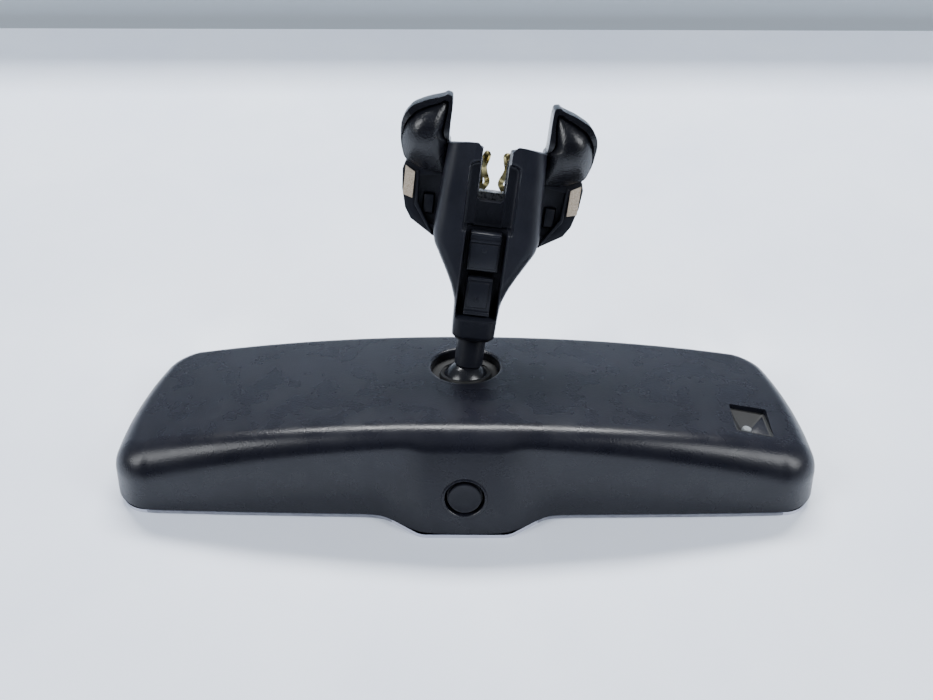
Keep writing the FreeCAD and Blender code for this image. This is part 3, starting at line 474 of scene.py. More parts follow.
def monotone(at, knots, values):
    """Cubic through points; each inner slope is the harmonic mean of its neighbours' slopes."""
    knots, values = np.asarray(knots, float), np.asarray(values, float)
    rise = np.diff(values) / np.diff(knots)
    left, right = rise[:-1], rise[1:]
    same = left * right > 0
    inner = np.where(same, 2 * left * right / np.where(same, left + right, 1), 0)
    slopes = np.concatenate([[rise[0]], inner, [rise[-1]]])
    k = np.clip(np.searchsorted(knots, at) - 1, 0, len(knots) - 2)
    span = knots[k + 1] - knots[k]
    u = np.clip((at - knots[k]) / span, 0, 1)
    return ((1 + 2 * u) * (1 - u) ** 2 * values[k] + u * (1 - u) ** 2 * span * slopes[k]
            + u ** 2 * (3 - 2 * u) * values[k + 1] + u ** 2 * (u - 1) * span * slopes[k + 1])


def bulged(start, end, sagitta, count, trim_start, trim_end):
    """Shallow parabola from start to end, bulging to the right, trimmed by two lengths."""
    start, end = np.array(start, float), np.array(end, float)
    along = end - start
    length = np.hypot(*along)
    outward = np.array([along[1], -along[0]]) / length
    v = np.linspace(trim_start / length, 1 - trim_end / length, count)[:, None]
    return start + v * along + 4 * sagitta * v * (1 - v) * outward


def corner_between(before, after, count):
    """Quadratic corner from the end of one run of points to the start of the next."""
    leave = before[-1] - before[-2]
    arrive = after[1] - after[0]
    gap = after[0] - before[-1]
    reach = (gap[0] * arrive[1] - gap[1] * arrive[0]) / (leave[0] * arrive[1] - leave[1] * arrive[0])
    corner = before[-1] + reach * leave
    t = np.linspace(0, 1, count + 2)[1:-1]
    return corner_arc(before[-1], corner, after[0], t)


def head_loop(bottom, low_corner, high_corner, low_trim, high_trim):
    """Closed outline: bottom run, corner, side, corner, top run, then the mirrored side."""
    mirror = np.array([-1.0, 1.0])
    side = bulged(low_corner, high_corner, 3.85, SIDE, low_trim, high_trim)
    high = np.array(high_corner, float)
    top = bulged(high, high * mirror, 5.8, LONG, high_trim, high_trim)
    low_bend = corner_between(bottom, side, BEND)
    high_bend = corner_between(side, top, BEND)
    return np.concatenate([bottom, low_bend, side, high_bend, top, high_bend[::-1] * mirror,
                           side[::-1] * mirror, low_bend[::-1] * mirror])


along_crest = np.linspace(-110, 110, LONG)
span_crest = np.abs(along_crest)
crest_line = np.stack([along_crest, -41 + 0 * along_crest], axis=-1)
along_rim = np.sign(along_crest) * monotone(span_crest, [0, 12, 17, 50, 110], [0, 15, 28.5, 53, 110])
span_rim = np.abs(along_rim)
chin = 8.1 * (ease(29.4 - span_rim, 3) - ease(16 - span_rim, 4)) / 13.4
rim_line = np.stack([along_rim, -48.2 + 1.9 * (along_rim / 124) ** 2 - chin], axis=-1)

crest_loop = head_loop(crest_line, (123.6, -41), (111, 19.2), 12.0, 8.5)
rim_loop = head_loop(rim_line, (124, -46.3), (111.3, 19.5), 10.8, 8.5)
print("points round the head:", len(crest_loop))


# %% Shell surface
def inward(loop):
    """Unit normals of a closed outline, pointing to its inside."""
    step = np.roll(loop, -1, axis=0) - np.roll(loop, 1, axis=0)
    normal = np.stack([-step[:, 1], step[:, 0]], axis=-1)
    return normal / np.linalg.norm(normal, axis=1, keepdims=True)


def shell_rows():
    """Rows from the rim up the wall, round the crest and across the crown to its middle line."""
    count = len(crest_loop)
    low = np.column_stack([rim_loop, np.full(count, 2.6)])
    high = np.column_stack([crest_loop, crown(crest_loop[:, 0], crest_loop[:, 1])])
    rise = high - low
    height = np.linalg.norm(rise, axis=1, keepdims=True)
    rise /= height
    marks = [0, LONG, LONG + BEND, LONG + BEND + SIDE, LONG + 2 * BEND + SIDE,
             2 * LONG + 2 * BEND + SIDE, 2 * LONG + 3 * BEND + SIDE,
             2 * LONG + 3 * BEND + 2 * SIDE, count]
    rounding = np.interp(np.arange(count), marks, [10.0, 10.0, 8.0, 5.0, 2.6, 2.6, 5.0, 8.0, 10.0])
    rounding[:LONG] = 7.2 + 3.3 * (span_crest / 110) ** 1.5
    rounding = rounding[:, None]
    rounding = np.minimum(rounding, 0.7 * height)
    wall_top = high - rise * rounding
    ring = crest_loop + inward(crest_loop) * rounding
    ring3 = np.column_stack([ring, crown(ring[:, 0], ring[:, 1])])
    inset = np.column_stack([inward(rim_loop), np.zeros(count)])
    rows = [low + inset * 0.5]
    rows += [low + rise * 0.5 + (wall_top - low - rise * 0.5) * s for s in np.linspace(0, 1, 8)]
    rows += [corner_arc(wall_top, high, ring3, np.full(count, t)) for t in np.linspace(0, 1, 12)[1:]]
    middle = np.concatenate([np.linspace(-100, 100, LONG), np.full(2 * BEND + SIDE, 100.0),
                             np.linspace(100, -100, LONG), np.full(2 * BEND + SIDE, -100.0)])
    core = np.column_stack([middle, np.full(count, -12.0)])
    for s in np.linspace(0, 1, 33)[1:]:
        flat = ring + (core - ring) * s
        rows.append(np.column_stack([flat, crown(flat[:, 0], flat[:, 1])]))
    return np.stack(rows)


def prism(name, outline, low, high, place):
    """Closed block with a flat outline, from low to high in a frame given by its place function."""
    outline = np.asarray(outline, float)
    ends = [place(np.column_stack([outline, np.full(len(outline), h)])) for h in (low, high)]
    return make_mesh(name, [(np.stack(ends), True)], caps=ends)


def circle_points(radius, count=96):
    angle = np.linspace(0, 2 * np.pi, count, endpoint=False)
    return np.column_stack([radius * np.cos(angle), radius * np.sin(angle)])


def rounded_rectangle(half_x, half_y, radius, count=8):
    """Rectangle whose corners are quarter circles."""
    quarter = np.linspace(0, np.pi / 2, count)
    arc = np.column_stack([np.cos(quarter), np.sin(quarter)]) * radius
    corner = np.array([half_x - radius, half_y - radius])
    turns = [np.array([[1, 0], [0, 1]]), np.array([[0, 1], [-1, 0]]),
             np.array([[-1, 0], [0, -1]]), np.array([[0, -1], [1, 0]])]
    sizes = [corner, corner * (-1, 1), -corner, corner * (1, -1)]
    return np.concatenate([arc @ turn + size for turn, size in zip(turns, sizes)])


WINDOW = np.array([101.0, -21.5, 22.5])
WINDOW_TURN = turn_x(-math.radians(18.7)) @ turn_y(math.radians(11.3))


def in_window(points):
    return WINDOW + np.asarray(points, float) @ WINDOW_TURN.T


HOLE_RADIUS = 12.65
GROOVE_RADIUS = 6.9
back_shell = make_mesh("mirror_back_shell", [(shell_rows(), True)])
wall = back_shell.modifiers.new("wall", "SOLIDIFY")
wall.thickness = 2.1 * MM
wall.offset = -1
wall.use_even_offset = False
window_outline = rounded_rectangle(6.9, 7.4, 0.8)
carve(back_shell, [prism("stem_cut", circle_points(HOLE_RADIUS + 0.8), -2, 20, on_socket),
                   prism("button_cut", circle_points(GROOVE_RADIUS + 0.4), -12, 9, on_button),
                   prism("window_cut", window_outline, -7, 6, in_window)])
settle(back_shell)
print("shell faces:", len(back_shell.data.polygons))

# %% [markdown]
# ## Lip of the stem hole, and ring of the button
# The hole's edge is rolled inwards. A thin ring with a rounded section follows the crown all the
# way round, so its height is solved at every angle. The button sits in a groove with a faintly
# raised edge, which is a plain turned profile in the button's own frame.


# %% Turned and followed rings
def above_back(radius, angle, offset):
    """Points round the hole's axis, each a given offset above the crown, found by iteration."""
    plan = np.stack([radius * np.cos(angle), radius * np.sin(angle)], axis=-1)
    height = np.full(plan.shape[:-1], 6.0)
    for _ in range(20):
        place = on_socket(np.concatenate([plan, height[..., None]], axis=-1))
        height = height - (place[..., 2] - crown(place[..., 0], place[..., 1]))
    return on_socket(np.concatenate([plan, (height + offset)[..., None]], axis=-1))


def turned(profile, place, count=96):
    """Surface of revolution: each (radius, height) of the profile swept round the local axis."""
    profile = np.asarray(profile, float)
    angle = np.linspace(0, 2 * np.pi, count, endpoint=False)[None, :]
    radius, height = profile[:, :1], profile[:, 1:]
    rings = np.stack([radius * np.cos(angle), radius * np.sin(angle), height + 0 * angle], axis=-1)
    return place(rings)


lip = np.array([(14.8, -0.03), (14.3, 0.03), (13.7, 0.03), (13.2, -0.10), (12.85, -0.42), (12.68, -0.9),
                (12.65, -1.5), (12.65, -4.2), (13.2, -4.4), (13.35, -1.6), (14.7, -0.7), (14.8, -0.03)])
round_angle = np.linspace(0, 2 * np.pi, 128, endpoint=False)[None, :]
lip_radius = lip[:, :1] + 0 * round_angle
hole_lip = make_mesh("stem_hole_lip", [(above_back(lip_radius, round_angle, lip[:, 1:]), True)])
settle(hole_lip)

groove = [(8.0, -0.25), (7.75, 0.16), (7.4, 0.28), (7.1, 0.26), (6.92, 0.10), (6.87, -0.3), (6.87, -3.2),
          (7.5, -3.4), (8.0, -1.6), (8.0, -0.25)]
button_ring = settle(make_mesh("button_groove_ring", [(turned(groove, on_button), True)]))

cap = [(0, -0.12), (2.6, -0.12), (4.5, -0.08), (5.1, 0.0), (5.4, 0.02), (5.6, -0.06), (5.7, -0.26),
       (5.72, -1.3), (6.1, -1.35), (6.2, -1.5), (6.2, -3.1), (5.4, -3.1), (5.4, -4.2), (0, -4.2)]
button_cap = settle(make_mesh("chin_button_cap", [(turned(cap, on_button), True)]))
print("rings and button:", [len(piece.data.polygons) for piece in (hole_lip, button_ring, button_cap)])

# %% [markdown]
# ## The inner ball seat
# The seat shows as a smooth dome round the stem: a sphere about the ball's centre, open at the
# neck, with a hollow for the ball inside. It is one turned profile, down the dome and back up
# the hollow, with the angle measured from the stem.

# %% Dome of the seat
DOME_RADIUS = 9.2
HOLLOW_RADIUS = 8.05
NECK_OPENING = 4.15
dome_angle = np.radians(np.linspace(27.5, 127, 40))
hollow_angle = np.radians(np.linspace(130, 31, 30))
dome = [(NECK_OPENING, 7.0), (NECK_OPENING, 7.95),
        *zip(DOME_RADIUS * np.sin(dome_angle), DOME_RADIUS * np.cos(dome_angle)),
        *zip(HOLLOW_RADIUS * np.sin(hollow_angle), HOLLOW_RADIUS * np.cos(hollow_angle)),
        (NECK_OPENING, 7.0)]
seat_dome = settle(make_mesh("inner_seat_dome", [(turned(dome, on_arm), True)]))
print("seat faces:", len(seat_dome.data.polygons))

# %% [markdown]
# ## Ground edge of the front glass
# The mirror's front pane is ground and polished all round. That edge is pale, unlike the face,
# so it is a thin ring of its own round the pane, set in a little more under the chin.

# %% Ring round the pane
def glass_edge_rows():
    """Closed section, 0.5 mm wide and as high as the pane, carried round the rim's outline."""
    inset = inward(rim_loop)
    under_chin = np.zeros(len(rim_loop))
    under_chin[:LONG] = chin / 8.1
    section = [(0.78, 0.12), (0.62, 0.28), (0.62, 1.80), (0.78, 1.96), (1.25, 1.96), (1.25, 0.12),
               (0.78, 0.12)]
    rows = []
    for depth, height in section:
        flat = rim_loop + inset * (depth + 0.9 * under_chin)[:, None]
        rows.append(np.column_stack([flat, np.full(len(flat), height)]))
    return np.stack(rows)


glass_edge = settle(make_mesh("ground_glass_edge", [(glass_edge_rows(), True)]))

# %% [markdown]
# ## The forward sensor's window
# The window is a funnel: three walls of black plastic, darkened further as painted shade, fall
# steeply to the bottom, where a frosted light pipe stands, and the wall at the right is a slanted
# facet with a bright top edge. It is a closed shell between an inner funnel and an outer box.

# %% Window funnel
frame_top = rounded_rectangle(6.85, 7.35, 0.8, 6)
frame_in = rounded_rectangle(6.35, 6.85, 0.7, 6)
FUNNEL_BASE = -2.8


def funnel_rows():
    """Rows from the outer wall over the edge and down the slanted inside to the bottom."""
    floor = np.array([-2.4, -3.2])
    rows = [(frame_top, FUNNEL_BASE), (frame_top, -0.15), (frame_top * 0.985, 0.0),
            (frame_in, -0.02), (frame_in * 0.985, -0.25)]
    for s, depth in ((0.2, -0.9), (0.45, -1.7), (0.7, -2.35), (0.88, -2.7), (1.0, -2.75)):
        rows.append((frame_in * (1 - s) + floor * s, depth))
    return np.stack([in_window(np.column_stack([flat, np.full(len(flat), height)]))
                     for flat, height in rows])


funnel_back = in_window(np.column_stack([frame_top, np.full(len(frame_top), FUNNEL_BASE)]))
window_funnel = settle(make_mesh("sensor_window_funnel", [(funnel_rows(), True)], caps=[funnel_back]))
facet_shape = np.array([(-0.3, -6.3, -2.0), (6.2, -6.3, -0.35), (6.2, 6.3, -0.35), (0.2, -2.6, -0.75)])
facet_under = facet_shape + np.array([0, 0, -1.2])
facet = make_mesh("sensor_window_facet", [(in_window(np.stack([facet_shape, facet_under])), True)],
                  caps=[in_window(facet_shape), in_window(facet_under)])
settle(bevel(facet, 0.12))
pipe = [(0, 0.95), (1.1, 0.95), (1.45, 0.82), (1.65, 0.5), (1.7, 0.0), (1.7, -2.6), (0, -2.6)]
PIPE_PLACE = np.array([-1.9, -3.9, -1.3])
light_guide = make_mesh("light_guide", [(turned(pipe, lambda p: in_window(p + PIPE_PLACE), 40), True)])
settle(light_guide)
print("window pieces:", len(window_funnel.data.polygons), len(facet.data.polygons))

# %% [markdown]
# ## The arm
# The arm is one nylon moulding: a collar round the stem, a flare, and a fork. It is drawn as a
# stack of closed sections on an upright arm, then leaned. The trough for the connectors and the
# two rails above it are part of each section, as steps with soft lips. The slot of the fork and
# the bed of the cast foot are cut out afterwards.

# %% Arm sections
ARM_FRONT = -9.0
ARM_BACK_FACE = 7.5
half_width_knots = ([19.8, 21.4, 28, 33, 38, 44, 50, 55, 59, 66, 80, 90.5],
                    [6.3, 7.6, 7.85, 8.2, 9.6, 12.3, 15.5, 17.9, 18.5, 18.1, 17.3, 16.75])


def step(value, soft):
    """Soft step from 0 to 1."""
    return 0.5 + 0.5 * np.tanh(value / soft)


def arm_sections(rows=150):
    """Closed sections of the arm: front with trough and rails, rounded edge, side and back."""
    up = np.linspace(19.8, 90.5, rows)[:, None]
    half = monotone(up, *half_width_knots)
    inner = np.concatenate([np.linspace(0, 4.4, 8), [4.6, 4.75, 4.9, 5.1],
                            np.linspace(5.6, 6.8, 4), [7.0, 7.15, 7.3, 7.5]])
    pinch = np.minimum(1.0, half / 7.8)
    half = np.maximum(half, 7.8)
    split = 7.5 + (np.minimum(9.4, 7.5 + 0.45 * (half - 7.5)) - 7.5) * np.linspace(0, 1, 8)[None, 1:]
    rest = np.sin(np.linspace(0, np.pi / 2, 22))[None, 1:]
    outer = split[:, -1:] + (half - split[:, -1:]) * rest
    x = np.concatenate([np.broadcast_to(inner, (rows, len(inner))), split, outer], axis=1)
    chamfer = np.clip((21.4 - up) / 1.6, 0, 1) * 1.4
    edge = np.minimum(4.2, half - 4.2)
    away = np.clip(x - (half - edge), 0, edge)
    across = np.clip((x - 7.5) / (half - 7.5 + 0.01), 0, 1)
    crown_front = -0.55 * (1 - (across * 2 - 1) ** 2) * step(up - 52, 6)
    front = ARM_FRONT + (edge - np.sqrt(np.maximum(edge ** 2 - away ** 2, 0)))
    front = front + np.where(x > 7.5, crown_front, 0)
    in_trough = step(7.18 - x, 0.07) * step(up - 28.7, 0.35) * step(61.5 - up, 0.4)
    rail = step(8.5 - x, 0.10) * step(up - 60.7, 0.4) * step(84.5 - 0.5 * (x - 4.7) - up, 0.5)
    channel = step(4.85 - x, 0.08) * step(up - 60.7, 0.4)
    lip = 0.25 * np.exp(-((x - 7.45) / 0.35) ** 2) * step(up - 28.0, 0.4) * step(61.5 - up, 0.6)
    cross_lip = 0.3 * np.exp(-((up - 28.3) / 0.5) ** 2) * step(7.3 - x, 0.2)
    depth = np.maximum(np.maximum(7.0 * in_trough, 5.8 * rail), 7.0 * channel)
    front = front + depth - lip - cross_lip + chamfer
    top = monotone(x, [0, 4.7, 7.0, 16.7, 19], [86.5, 88.2, 90.5, 88.9, 88.0])
    lift = (top - 90.5) * np.clip((up - 78) / 12.5, 0, 1) ** 2
    height = up + lift
    side_y = np.array([-3.5, -1.0, 2.0, 5.0, 6.6, 7.2])[None, :]
    side_x = half + np.array([0.0, 0.0, 0.0, 0.0, -0.1, -0.5])[None, :]
    back_x = half * np.array([0.93, 0.6, 0.25, 0.0])[None, :]
    right_x = np.concatenate([x, side_x, back_x], axis=1) * pinch
    right_y = np.concatenate([front, side_y + 0 * up, np.full((rows, 4), ARM_BACK_FACE) - chamfer], axis=1)
    right_z = np.concatenate([height, np.repeat(height[:, -1:], 10, axis=1)], axis=1)
    right = np.stack([right_x, right_y, right_z], axis=-1)
    left = right[:, ::-1][:, 1:-1] * np.array([-1, 1, 1])
    return np.concatenate([right, left], axis=1)


def block(name, x, y, z, place=on_arm, edge=0.0):
    """Box between three pairs of numbers, with rounded edges if asked."""
    corners = np.array([(x[0], y[0]), (x[1], y[0]), (x[1], y[1]), (x[0], y[1])])
    thing = prism(name, corners, z[0], z[1], place)
    if edge:
        settle(bevel(thing, edge))
    return thing


sections = arm_sections()
arm_body = make_mesh("mirror_arm_fork", [(on_arm(sections), True)],
                     caps=[on_arm(sections[0]), on_arm(sections[-1])])
slot_outline = np.array([(-4.7, 70.5), (-3.6, 69.4), (3.6, 69.4), (4.7, 70.5), (4.7, 99), (-4.7, 99)])
slot_tool = prism("slot_tool", slot_outline, -12, 12, lambda p: on_arm(p[:, [0, 2, 1]]))
bed_tool = block("bed_tool", (-13.2, 13.2), (2.0, 12), (47.7, 99))
top_outline = np.array([(-9.8, 91.1), (9.5, 83.4), (9.5, 99), (-9.8, 99)])
top_tool = prism("top_tool", top_outline, -25, 25, lambda p: on_arm(p[:, [2, 0, 1]]))
carve(arm_body, [slot_tool, bed_tool, top_tool])
settle(arm_body, 40)
print("arm faces:", len(arm_body.data.polygons))

# %% [markdown]
# ## The wings
# Each wing is a domed cover with a raised band along its top and its inner side. One outline
# carries the dome: rings step from the band down to a shadow line, then rise to the dome, and
# outside they turn the edge and come back along the inside, so the cover is hollow from behind.


# %% Wing surface
def dense(outline, count=160):
    """Even points along a closed outline whose corners are first cut twice."""
    points = np.asarray(outline, float)
    for _ in range(2):
        after = np.roll(points, -1, axis=0)
        points = np.stack([points * 0.82 + after * 0.18, points * 0.18 + after * 0.82], axis=1)
        points = points.reshape(-1, 2)
    closed = np.concatenate([points, points[:1]])
    length = np.concatenate([[0], np.cumsum(np.linalg.norm(np.diff(closed, axis=0), axis=1))])
    at = np.linspace(0, length[-1], count, endpoint=False)
    return np.stack([np.interp(at, length, closed[:, i]) for i in (0, 1)], axis=-1)


wing_outline = [(15.6, 77.5), (15.8, 88.6), (16.8, 89.6), (16.7, 104.0), (18.9, 104.6),
                (20.0, 103.7), (24.9, 102.2), (30.2, 99.6), (32.7, 95.9), (33.4, 92.6), (33.0, 86.5),
                (31.0, 80.6), (24.0, 77.6)]


def smooth_step(value):
    """0 below 0, 1 above 1, and 3 v^2 - 2 v^3 between."""
    value = np.clip(value, 0, 1)
    return value ** 2 * (3 - 2 * value)


def wing_rows(sign):
    """Rows from the middle of the dome out over the band and back along the inside.

    Dome depth = rim depth + rise x (1 - s^5)^0.9 x a bell about the dome's top, with s from 0 in
    the middle to 1 at its edge.
    """
    edge = dense(wing_outline, 240)
    middle = np.array([24.4, 91.0])
    away = edge - middle
    reach = np.linalg.norm(away, axis=1, keepdims=True)
    out = away / reach
    top = smooth_step((edge[:, 1:] - 88) / 10)
    inner = smooth_step((21.0 - edge[:, :1]) / 4) * smooth_step((edge[:, 1:] - 86) / 5)
    banded = np.maximum(top, inner)
    banded = sum(np.roll(banded, shift, axis=0) for shift in range(-11, 12)) / 23
    band = 0.4 + 2.0 * banded
    dome = edge - out * band
    rows = []
    for s in np.linspace(0, 1, 26):
        flat = middle + (dome - middle) * s
        hill = ((flat[:, :1] - 24.4) / 9) ** 2 + ((flat[:, 1:] - 92) / 11.5) ** 2
        peak = 4.8 * (1 - s ** 5) ** 0.9 * np.exp(-1.1 * hill)
        rows.append((flat, -4.2 - peak + (1.0 - banded) * 1.6 * s ** 3))
    rim_depth = -4.2 - 2.0 * banded + (1 - banded) * 1.8
    rows.append((dome + out * 0.10 * banded, rim_depth + 0.25))
    rows.append((dome + out * 0.30 * banded, rim_depth))
    rows.append((edge - out * 0.12, rim_depth))
    rows.append((edge, rim_depth + 0.4))
    rows.append((edge, np.full_like(rim_depth, 4.2)))
    rows.append((edge - out * 0.3, np.full_like(rim_depth, 4.5)))
    rows.append((edge - out * 1.6, np.full_like(rim_depth, 4.5)))
    rows.append((edge - out * 1.8, np.full_like(rim_depth, 4.2)))
    rows.append((edge - out * 2.6, np.full_like(rim_depth, -2.4)))
    rows.append((middle + away * 0.5, np.full_like(rim_depth, -4.2)))
    rows.append((middle + 0 * away, np.full_like(rim_depth, -5.0)))
    grid = [np.column_stack([flat[:, 0] * sign, depth, flat[:, 1]]) for flat, depth in rows]
    return on_arm(np.stack(grid))


wings = {side: settle(make_mesh(side + "_fork_wing", [(wing_rows(sign), True)]), 32)
         for side, sign in (("left", -1), ("right", 1))}
print("wing faces:", len(wings["left"].data.polygons))

# %% [markdown]
# ## Side brackets
# Under each wing a bracket carries the felt pad and a latch window. It is a plate with a raised
# rim, a sloping skirt at the bottom and a small square tongue in the window.


# %% Brackets
def bracket(side, sign):
    """Plate, rim and tongue joined in one piece, drawn as (across, up) and pressed through."""
    def upright(points):
        return on_arm(points[:, [0, 2, 1]] * np.array([sign, 1, 1]))

    outline = [(16.6, 54.2), (18.6, 54.8), (26.9, 60.0), (29.2, 63.7), (30.9, 70.5), (31.4, 77),
               (30.6, 79.8), (24.2, 79.5), (15.8, 80.5)]
    window_edge = [(19.2, 62.2), (23.2, 62.2), (23.2, 69.4), (19.2, 69.4)]
    bed_edge = [(17.6, 58.5), (20.2, 58.8), (24.8, 65.2), (25.5, 75.4), (17.2, 76.6)]
    rim_edge = [(18.3, 55.3), (19.0, 55.0), (26.0, 65.2), (26.7, 76.8), (25.7, 77.2), (25.0, 66.2)]
    tongue_edge = [(19.5, 62.6), (22.9, 62.6), (22.9, 69.0), (19.5, 69.0)]
    plate = prism(side + "_plate", outline, -0.4, 4.8, upright)
    carve(plate, [prism("hole", window_edge, -2, 4.0, upright), prism("bed", bed_edge, -2, 1.6, upright)])
    settle(bevel(plate, 0.35), 30)
    rim = settle(bevel(prism(side + "_rim", rim_edge, -1.3, 0.5, upright), 0.3), 30)
    tongue = settle(bevel(prism(side + "_tongue", tongue_edge, 0.2, 3.9, upright), 0.3), 30)
    parts = [plate, rim, tongue]
    work = bmesh.new()
    for part in parts:
        work.from_mesh(part.data)
    work.to_mesh(plate.data)
    work.free()
    for part in parts[1:]:
        bpy.data.objects.remove(part)
    plate.name = side + "_side_bracket"
    plate.data.shade_smooth()
    plate.data.set_sharp_from_angle(angle=math.radians(30))
    return plate


brackets = {side: bracket(side, sign) for side, sign in (("left", -1), ("right", 1))}

# %% [markdown]
# ## Connectors in the trough
# Two plugs sit end to end. Each has a moulded case, a raised latch plate and a ledge that
# catches the light. A small pip stands in each latch plate.


# %% Connectors
def joined_piece(name, parts):
    """Join finished parts into one object."""
    work = bmesh.new()
    for part in parts:
        work.from_mesh(part.data)
    mesh = bpy.data.meshes.new(name)
    work.to_mesh(mesh)
    work.free()
    for part in parts:
        bpy.data.objects.remove(part)
    mesh.shade_smooth()
    mesh.set_sharp_from_angle(angle=math.radians(30))
    thing = bpy.data.objects.new(name, mesh)
    bpy.context.collection.objects.link(thing)
    return thing


lower_plug = joined_piece("lower_plug", [
    block("a", (-4.6, 4.6), (-6.6, -2.0), (29.6, 43.2), edge=0.35),
    block("b", (-4.6, 4.6), (-7.4, -6.3), (29.5, 30.9), edge=0.3),
    block("c", (-3.9, 3.3), (-6.95, -6.3), (32.2, 41.6), edge=0.25),
    block("d", (-0.9, 0.3), (-7.3, -6.6), (34.6, 35.8), edge=0.12),
    block("e", (-4.4, 4.4), (-7.0, -6.4), (42.3, 43.3), edge=0.2)])
upper_plug = joined_piece("upper_plug", [
    block("a", (-5.5, 5.5), (-6.8, -2.0), (45.8, 59.4), edge=0.4),
    block("b", (-4.9, 4.9), (-7.1, -6.4), (46.8, 55.6), edge=0.25),
    block("c", (-5.2, 5.2), (-7.5, -6.4), (56.2, 56.9), edge=0.15),
    block("d", (-5.2, 5.2), (-7.2, -6.4), (58.4, 59.3), edge=0.2),
    block("e", (-0.8, 0.8), (-7.25, -6.6), (52.6, 53.9), edge=0.12)])

# %% [markdown]
# ## Retaining springs
# Two leaf springs clip over the walls of the slot. Each is a strip with bends, drawn as a path
# with a constant thickness.


# %% Springs
def leaf_spring(side, sign):
    """Strip folded over a wall of the slot: a path of bends, 1.9 mm wide, pressed from thin sheet."""
    tuck = 1.0 if sign > 0 else 0.0
    path = np.array([(4.0, 72.6), (4.3, 76.0), (4.4, 80.0), (3.9, 83.0), (3.1, 85.2), (2.6, 84.6),
                     (3.0, 82.4), (3.5, 80.4), (3.0, 78.4), (2.2, 76.6), (1.9, 75.2), (2.4, 73.8),
                     (3.3, 72.8)]) + np.array([tuck, 0])
    fine = np.linspace(0, len(path) - 1, 70)
    smooth = np.stack([monotone(fine, np.arange(len(path)), path[:, i]) for i in (0, 1)], axis=-1)
    step_along = np.gradient(smooth, axis=0)
    normal = np.stack([-step_along[:, 1], step_along[:, 0]], axis=-1)
    normal /= np.linalg.norm(normal, axis=1, keepdims=True)
    half = 0.95
    wave = 0.5 * np.sin(fine * 1.3)
    a, b = smooth + normal * half, smooth - normal * half
    ring = np.stack([np.column_stack([a[:, 0] * sign, 2.9 + wave, a[:, 1]]),
                     np.column_stack([a[:, 0] * sign, 3.4 + wave, a[:, 1]]),
                     np.column_stack([b[:, 0] * sign, 3.9 + wave, b[:, 1]]),
                     np.column_stack([b[:, 0] * sign, 3.4 + wave, b[:, 1]])], axis=1)
    strip = make_mesh(side + "_leaf_spring", [(on_arm(ring), True)],
                      caps=[on_arm(ring[0]), on_arm(ring[-1])])
    return settle(strip, 30)


springs = {side: leaf_spring(side, sign) for side, sign in (("left", -1), ("right", 1))}

# %% [markdown]
# ## Bodies, replaced nodes and finishes
# Every new piece rides on the CAD body it belongs to and hides the plain node it stands for.
# The nodes that stay keep their shape, get rounded edges and a finish.

# %% Assign
placements = [
    (back_shell, "head", ["back_housing"], "housing_plastic", shell_plastic),
    (hole_lip, "head", [], "housing_plastic", shell_plastic),
    (button_ring, "head", [], "housing_plastic", shell_plastic),
    (glass_edge, "head", [], "mirror_glass", ground_edge),
    (button_cap, "button", ["dimming_button"], "button_plastic", button_plastic),
    (seat_dome, "inner_seat", ["inner_ball_seat"], "seat_plastic", acetal),
    # The window funnel's near-black finish is partly its own black plastic and partly painted shade.
    (window_funnel, "head", ["sensor_window"], "window_plastic", black_inside_plastic_painted_shade),
    (facet, "head", [], "window_plastic", shell_plastic),
    (light_guide, "head", ["light_pipe"], "pipe_plastic", pipe_plastic),
    (arm_body, "arm", ["arm_shell"], "arm_plastic", arm_plastic),
    (wings["left"], "arm", ["left_wing"], "wing_plastic", wing_plastic),
    (wings["right"], "arm", ["right_wing"], "wing_plastic", wing_plastic),
    (brackets["left"], "arm", ["left_bracket"], "wing_plastic", arm_plastic),
    (brackets["right"], "arm", ["right_bracket"], "wing_plastic", arm_plastic),
    (lower_plug, "arm", ["lower_connector"], "connector_plastic", connector_plastic),
    (upper_plug, "arm", ["upper_connector"], "connector_plastic", connector_plastic),
    (springs["left"], "arm", ["left_retaining_spring"], "gold_chromate", gold_steel),
    (springs["right"], "arm", ["right_retaining_spring"], "gold_chromate", gold_steel),
]
for piece, body, stands_for, slot_name, finish in placements:
    piece.data.materials.clear()
    piece.data.materials.append(finish)
    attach(piece, body)
    if stands_for:
        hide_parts(*stands_for)

kept = {
    "front_glass": (mirror_glass, 0.25), "epoxy_seal": (epoxy, 0), "rear_glass": (rear_pane, 0.15),
    "upper_bus_clip": (tinned_copper, 0), "lower_bus_clip": (tinned_copper, 0), "foam_pad": (foam, 0),
    "carrier_plate": (black_inside_plastic_painted_shade, 0.3), "circuit_board": (laminate, 0.1),
    "board_screws": (zinc_screw, 0.1),
    "glare_sensor": (component, 0.1), "board_connector": (component, 0.2), "control_chip": (component, 0.1),
    "forward_sensor": (component, 0.1), "dimming_switch": (component, 0.1), "switch_board": (laminate, 0.1),
    # Socket base, clamp ring, socket screws and outer seat take the near-black inside finish as painted
    # shade inside the stem hole, though the seat and socket are acetal.
    "socket_base": (black_inside_plastic_painted_shade, 0.3), "clamp_ring": (black_inside_plastic_painted_shade, 0.4),
    "socket_screws": (black_inside_plastic_painted_shade, 0.1),
    "outer_ball_seat": (black_inside_plastic_painted_shade, 0.25), "ball_stud": (ball_steel, 0.3),
    "stem_sleeve": (arm_plastic, 0.3), "wire_harness": (wire_cover, 0.2), "foot_plate": (cast_zinc, 0.5),
    "foot_screws": (zinc_screw, 0.2), "left_felt_pad": (felt, 0.3), "right_felt_pad": (felt, 0.3),
}
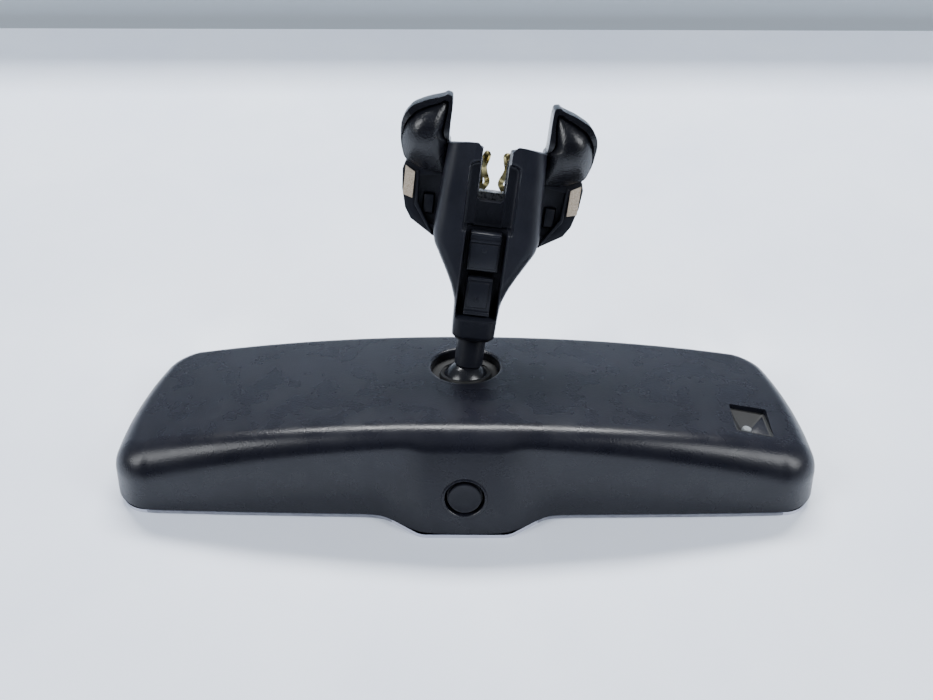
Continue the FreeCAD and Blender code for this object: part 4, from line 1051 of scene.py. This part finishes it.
for name, (finish, edge) in kept.items():
    thing = nodes[name]
    for i in range(max(1, len(thing.data.materials))):
        if i < len(thing.data.materials):
            thing.data.materials[i] = finish
        else:
            thing.data.materials.append(finish)
    if edge:
        bevel(thing, edge, 3)
print("kept nodes:", len(kept), "new pieces:", len(placements))

# %% [markdown]
# ## Table top and wall
# The table is a large pale sheet with faint wiped marks. It is stage, not part of the object.

# %% Stage
def table_top():
    """White laminate with a soft sheen, faint smears and short scratches."""
    material, tree, shader = start_material("white_laminate_table", "#ecf2fc", 0.34)
    where = object_space(tree)
    smear = noise(tree, where, 90, 5.0, 0.6)
    vary_colour(tree, shader, spread(tree, smear, 0, 1, 0.3, 0.7), "#e2eafa", "#ecf3ff")
    tree.links.new(spread(tree, noise(tree, where, 25, 6.0), 0.28, 0.42), shader.inputs["Roughness"])
    relief(tree, shader, noise(tree, where, 6, 4.0), 0.01)
    return material


def sheet_of(name, corners, material):
    """Flat stage sheet through four corners, in metres."""
    mesh = bpy.data.meshes.new(name)
    mesh.from_pydata(corners, [], [(0, 1, 2, 3)])
    thing = bpy.data.objects.new(name, mesh)
    bpy.context.collection.objects.link(thing)
    mesh.materials.append(material)
    return thing


def matt_card(name, colour):
    """Painted card with a faint mottle."""
    return plain_finish(name, colour, colour, 0.9, 0.0, 40, 0.01)


FAR_EDGE = 0.273
WALL_FOOT = FAR_EDGE + 0.004
WALL_HEAD = FAR_EDGE + 0.03
table_corners = [(-1.6, -1.4, 0), (1.6, -1.4, 0), (1.6, FAR_EDGE, 0), (-1.6, FAR_EDGE, 0)]
wall_corners = [(-1.6, WALL_FOOT, -0.05), (1.6, WALL_FOOT, -0.05),
                (1.6, WALL_HEAD, 0.14), (-1.6, WALL_HEAD, 0.14)]
card_corners = [(-1.2, -1.0, 0.0), (1.2, -1.0, 0.0), (1.2, -1.0, 0.9), (-1.2, -1.0, 0.9)]
table = sheet_of("table_top", table_corners, table_top())
far_wall = sheet_of("far_wall", wall_corners, matt_card("grey_wall", "#b9c3cd"))
dark_card = sheet_of("dark_card_behind_viewer", card_corners, matt_card("dark_card", "#17181c"))
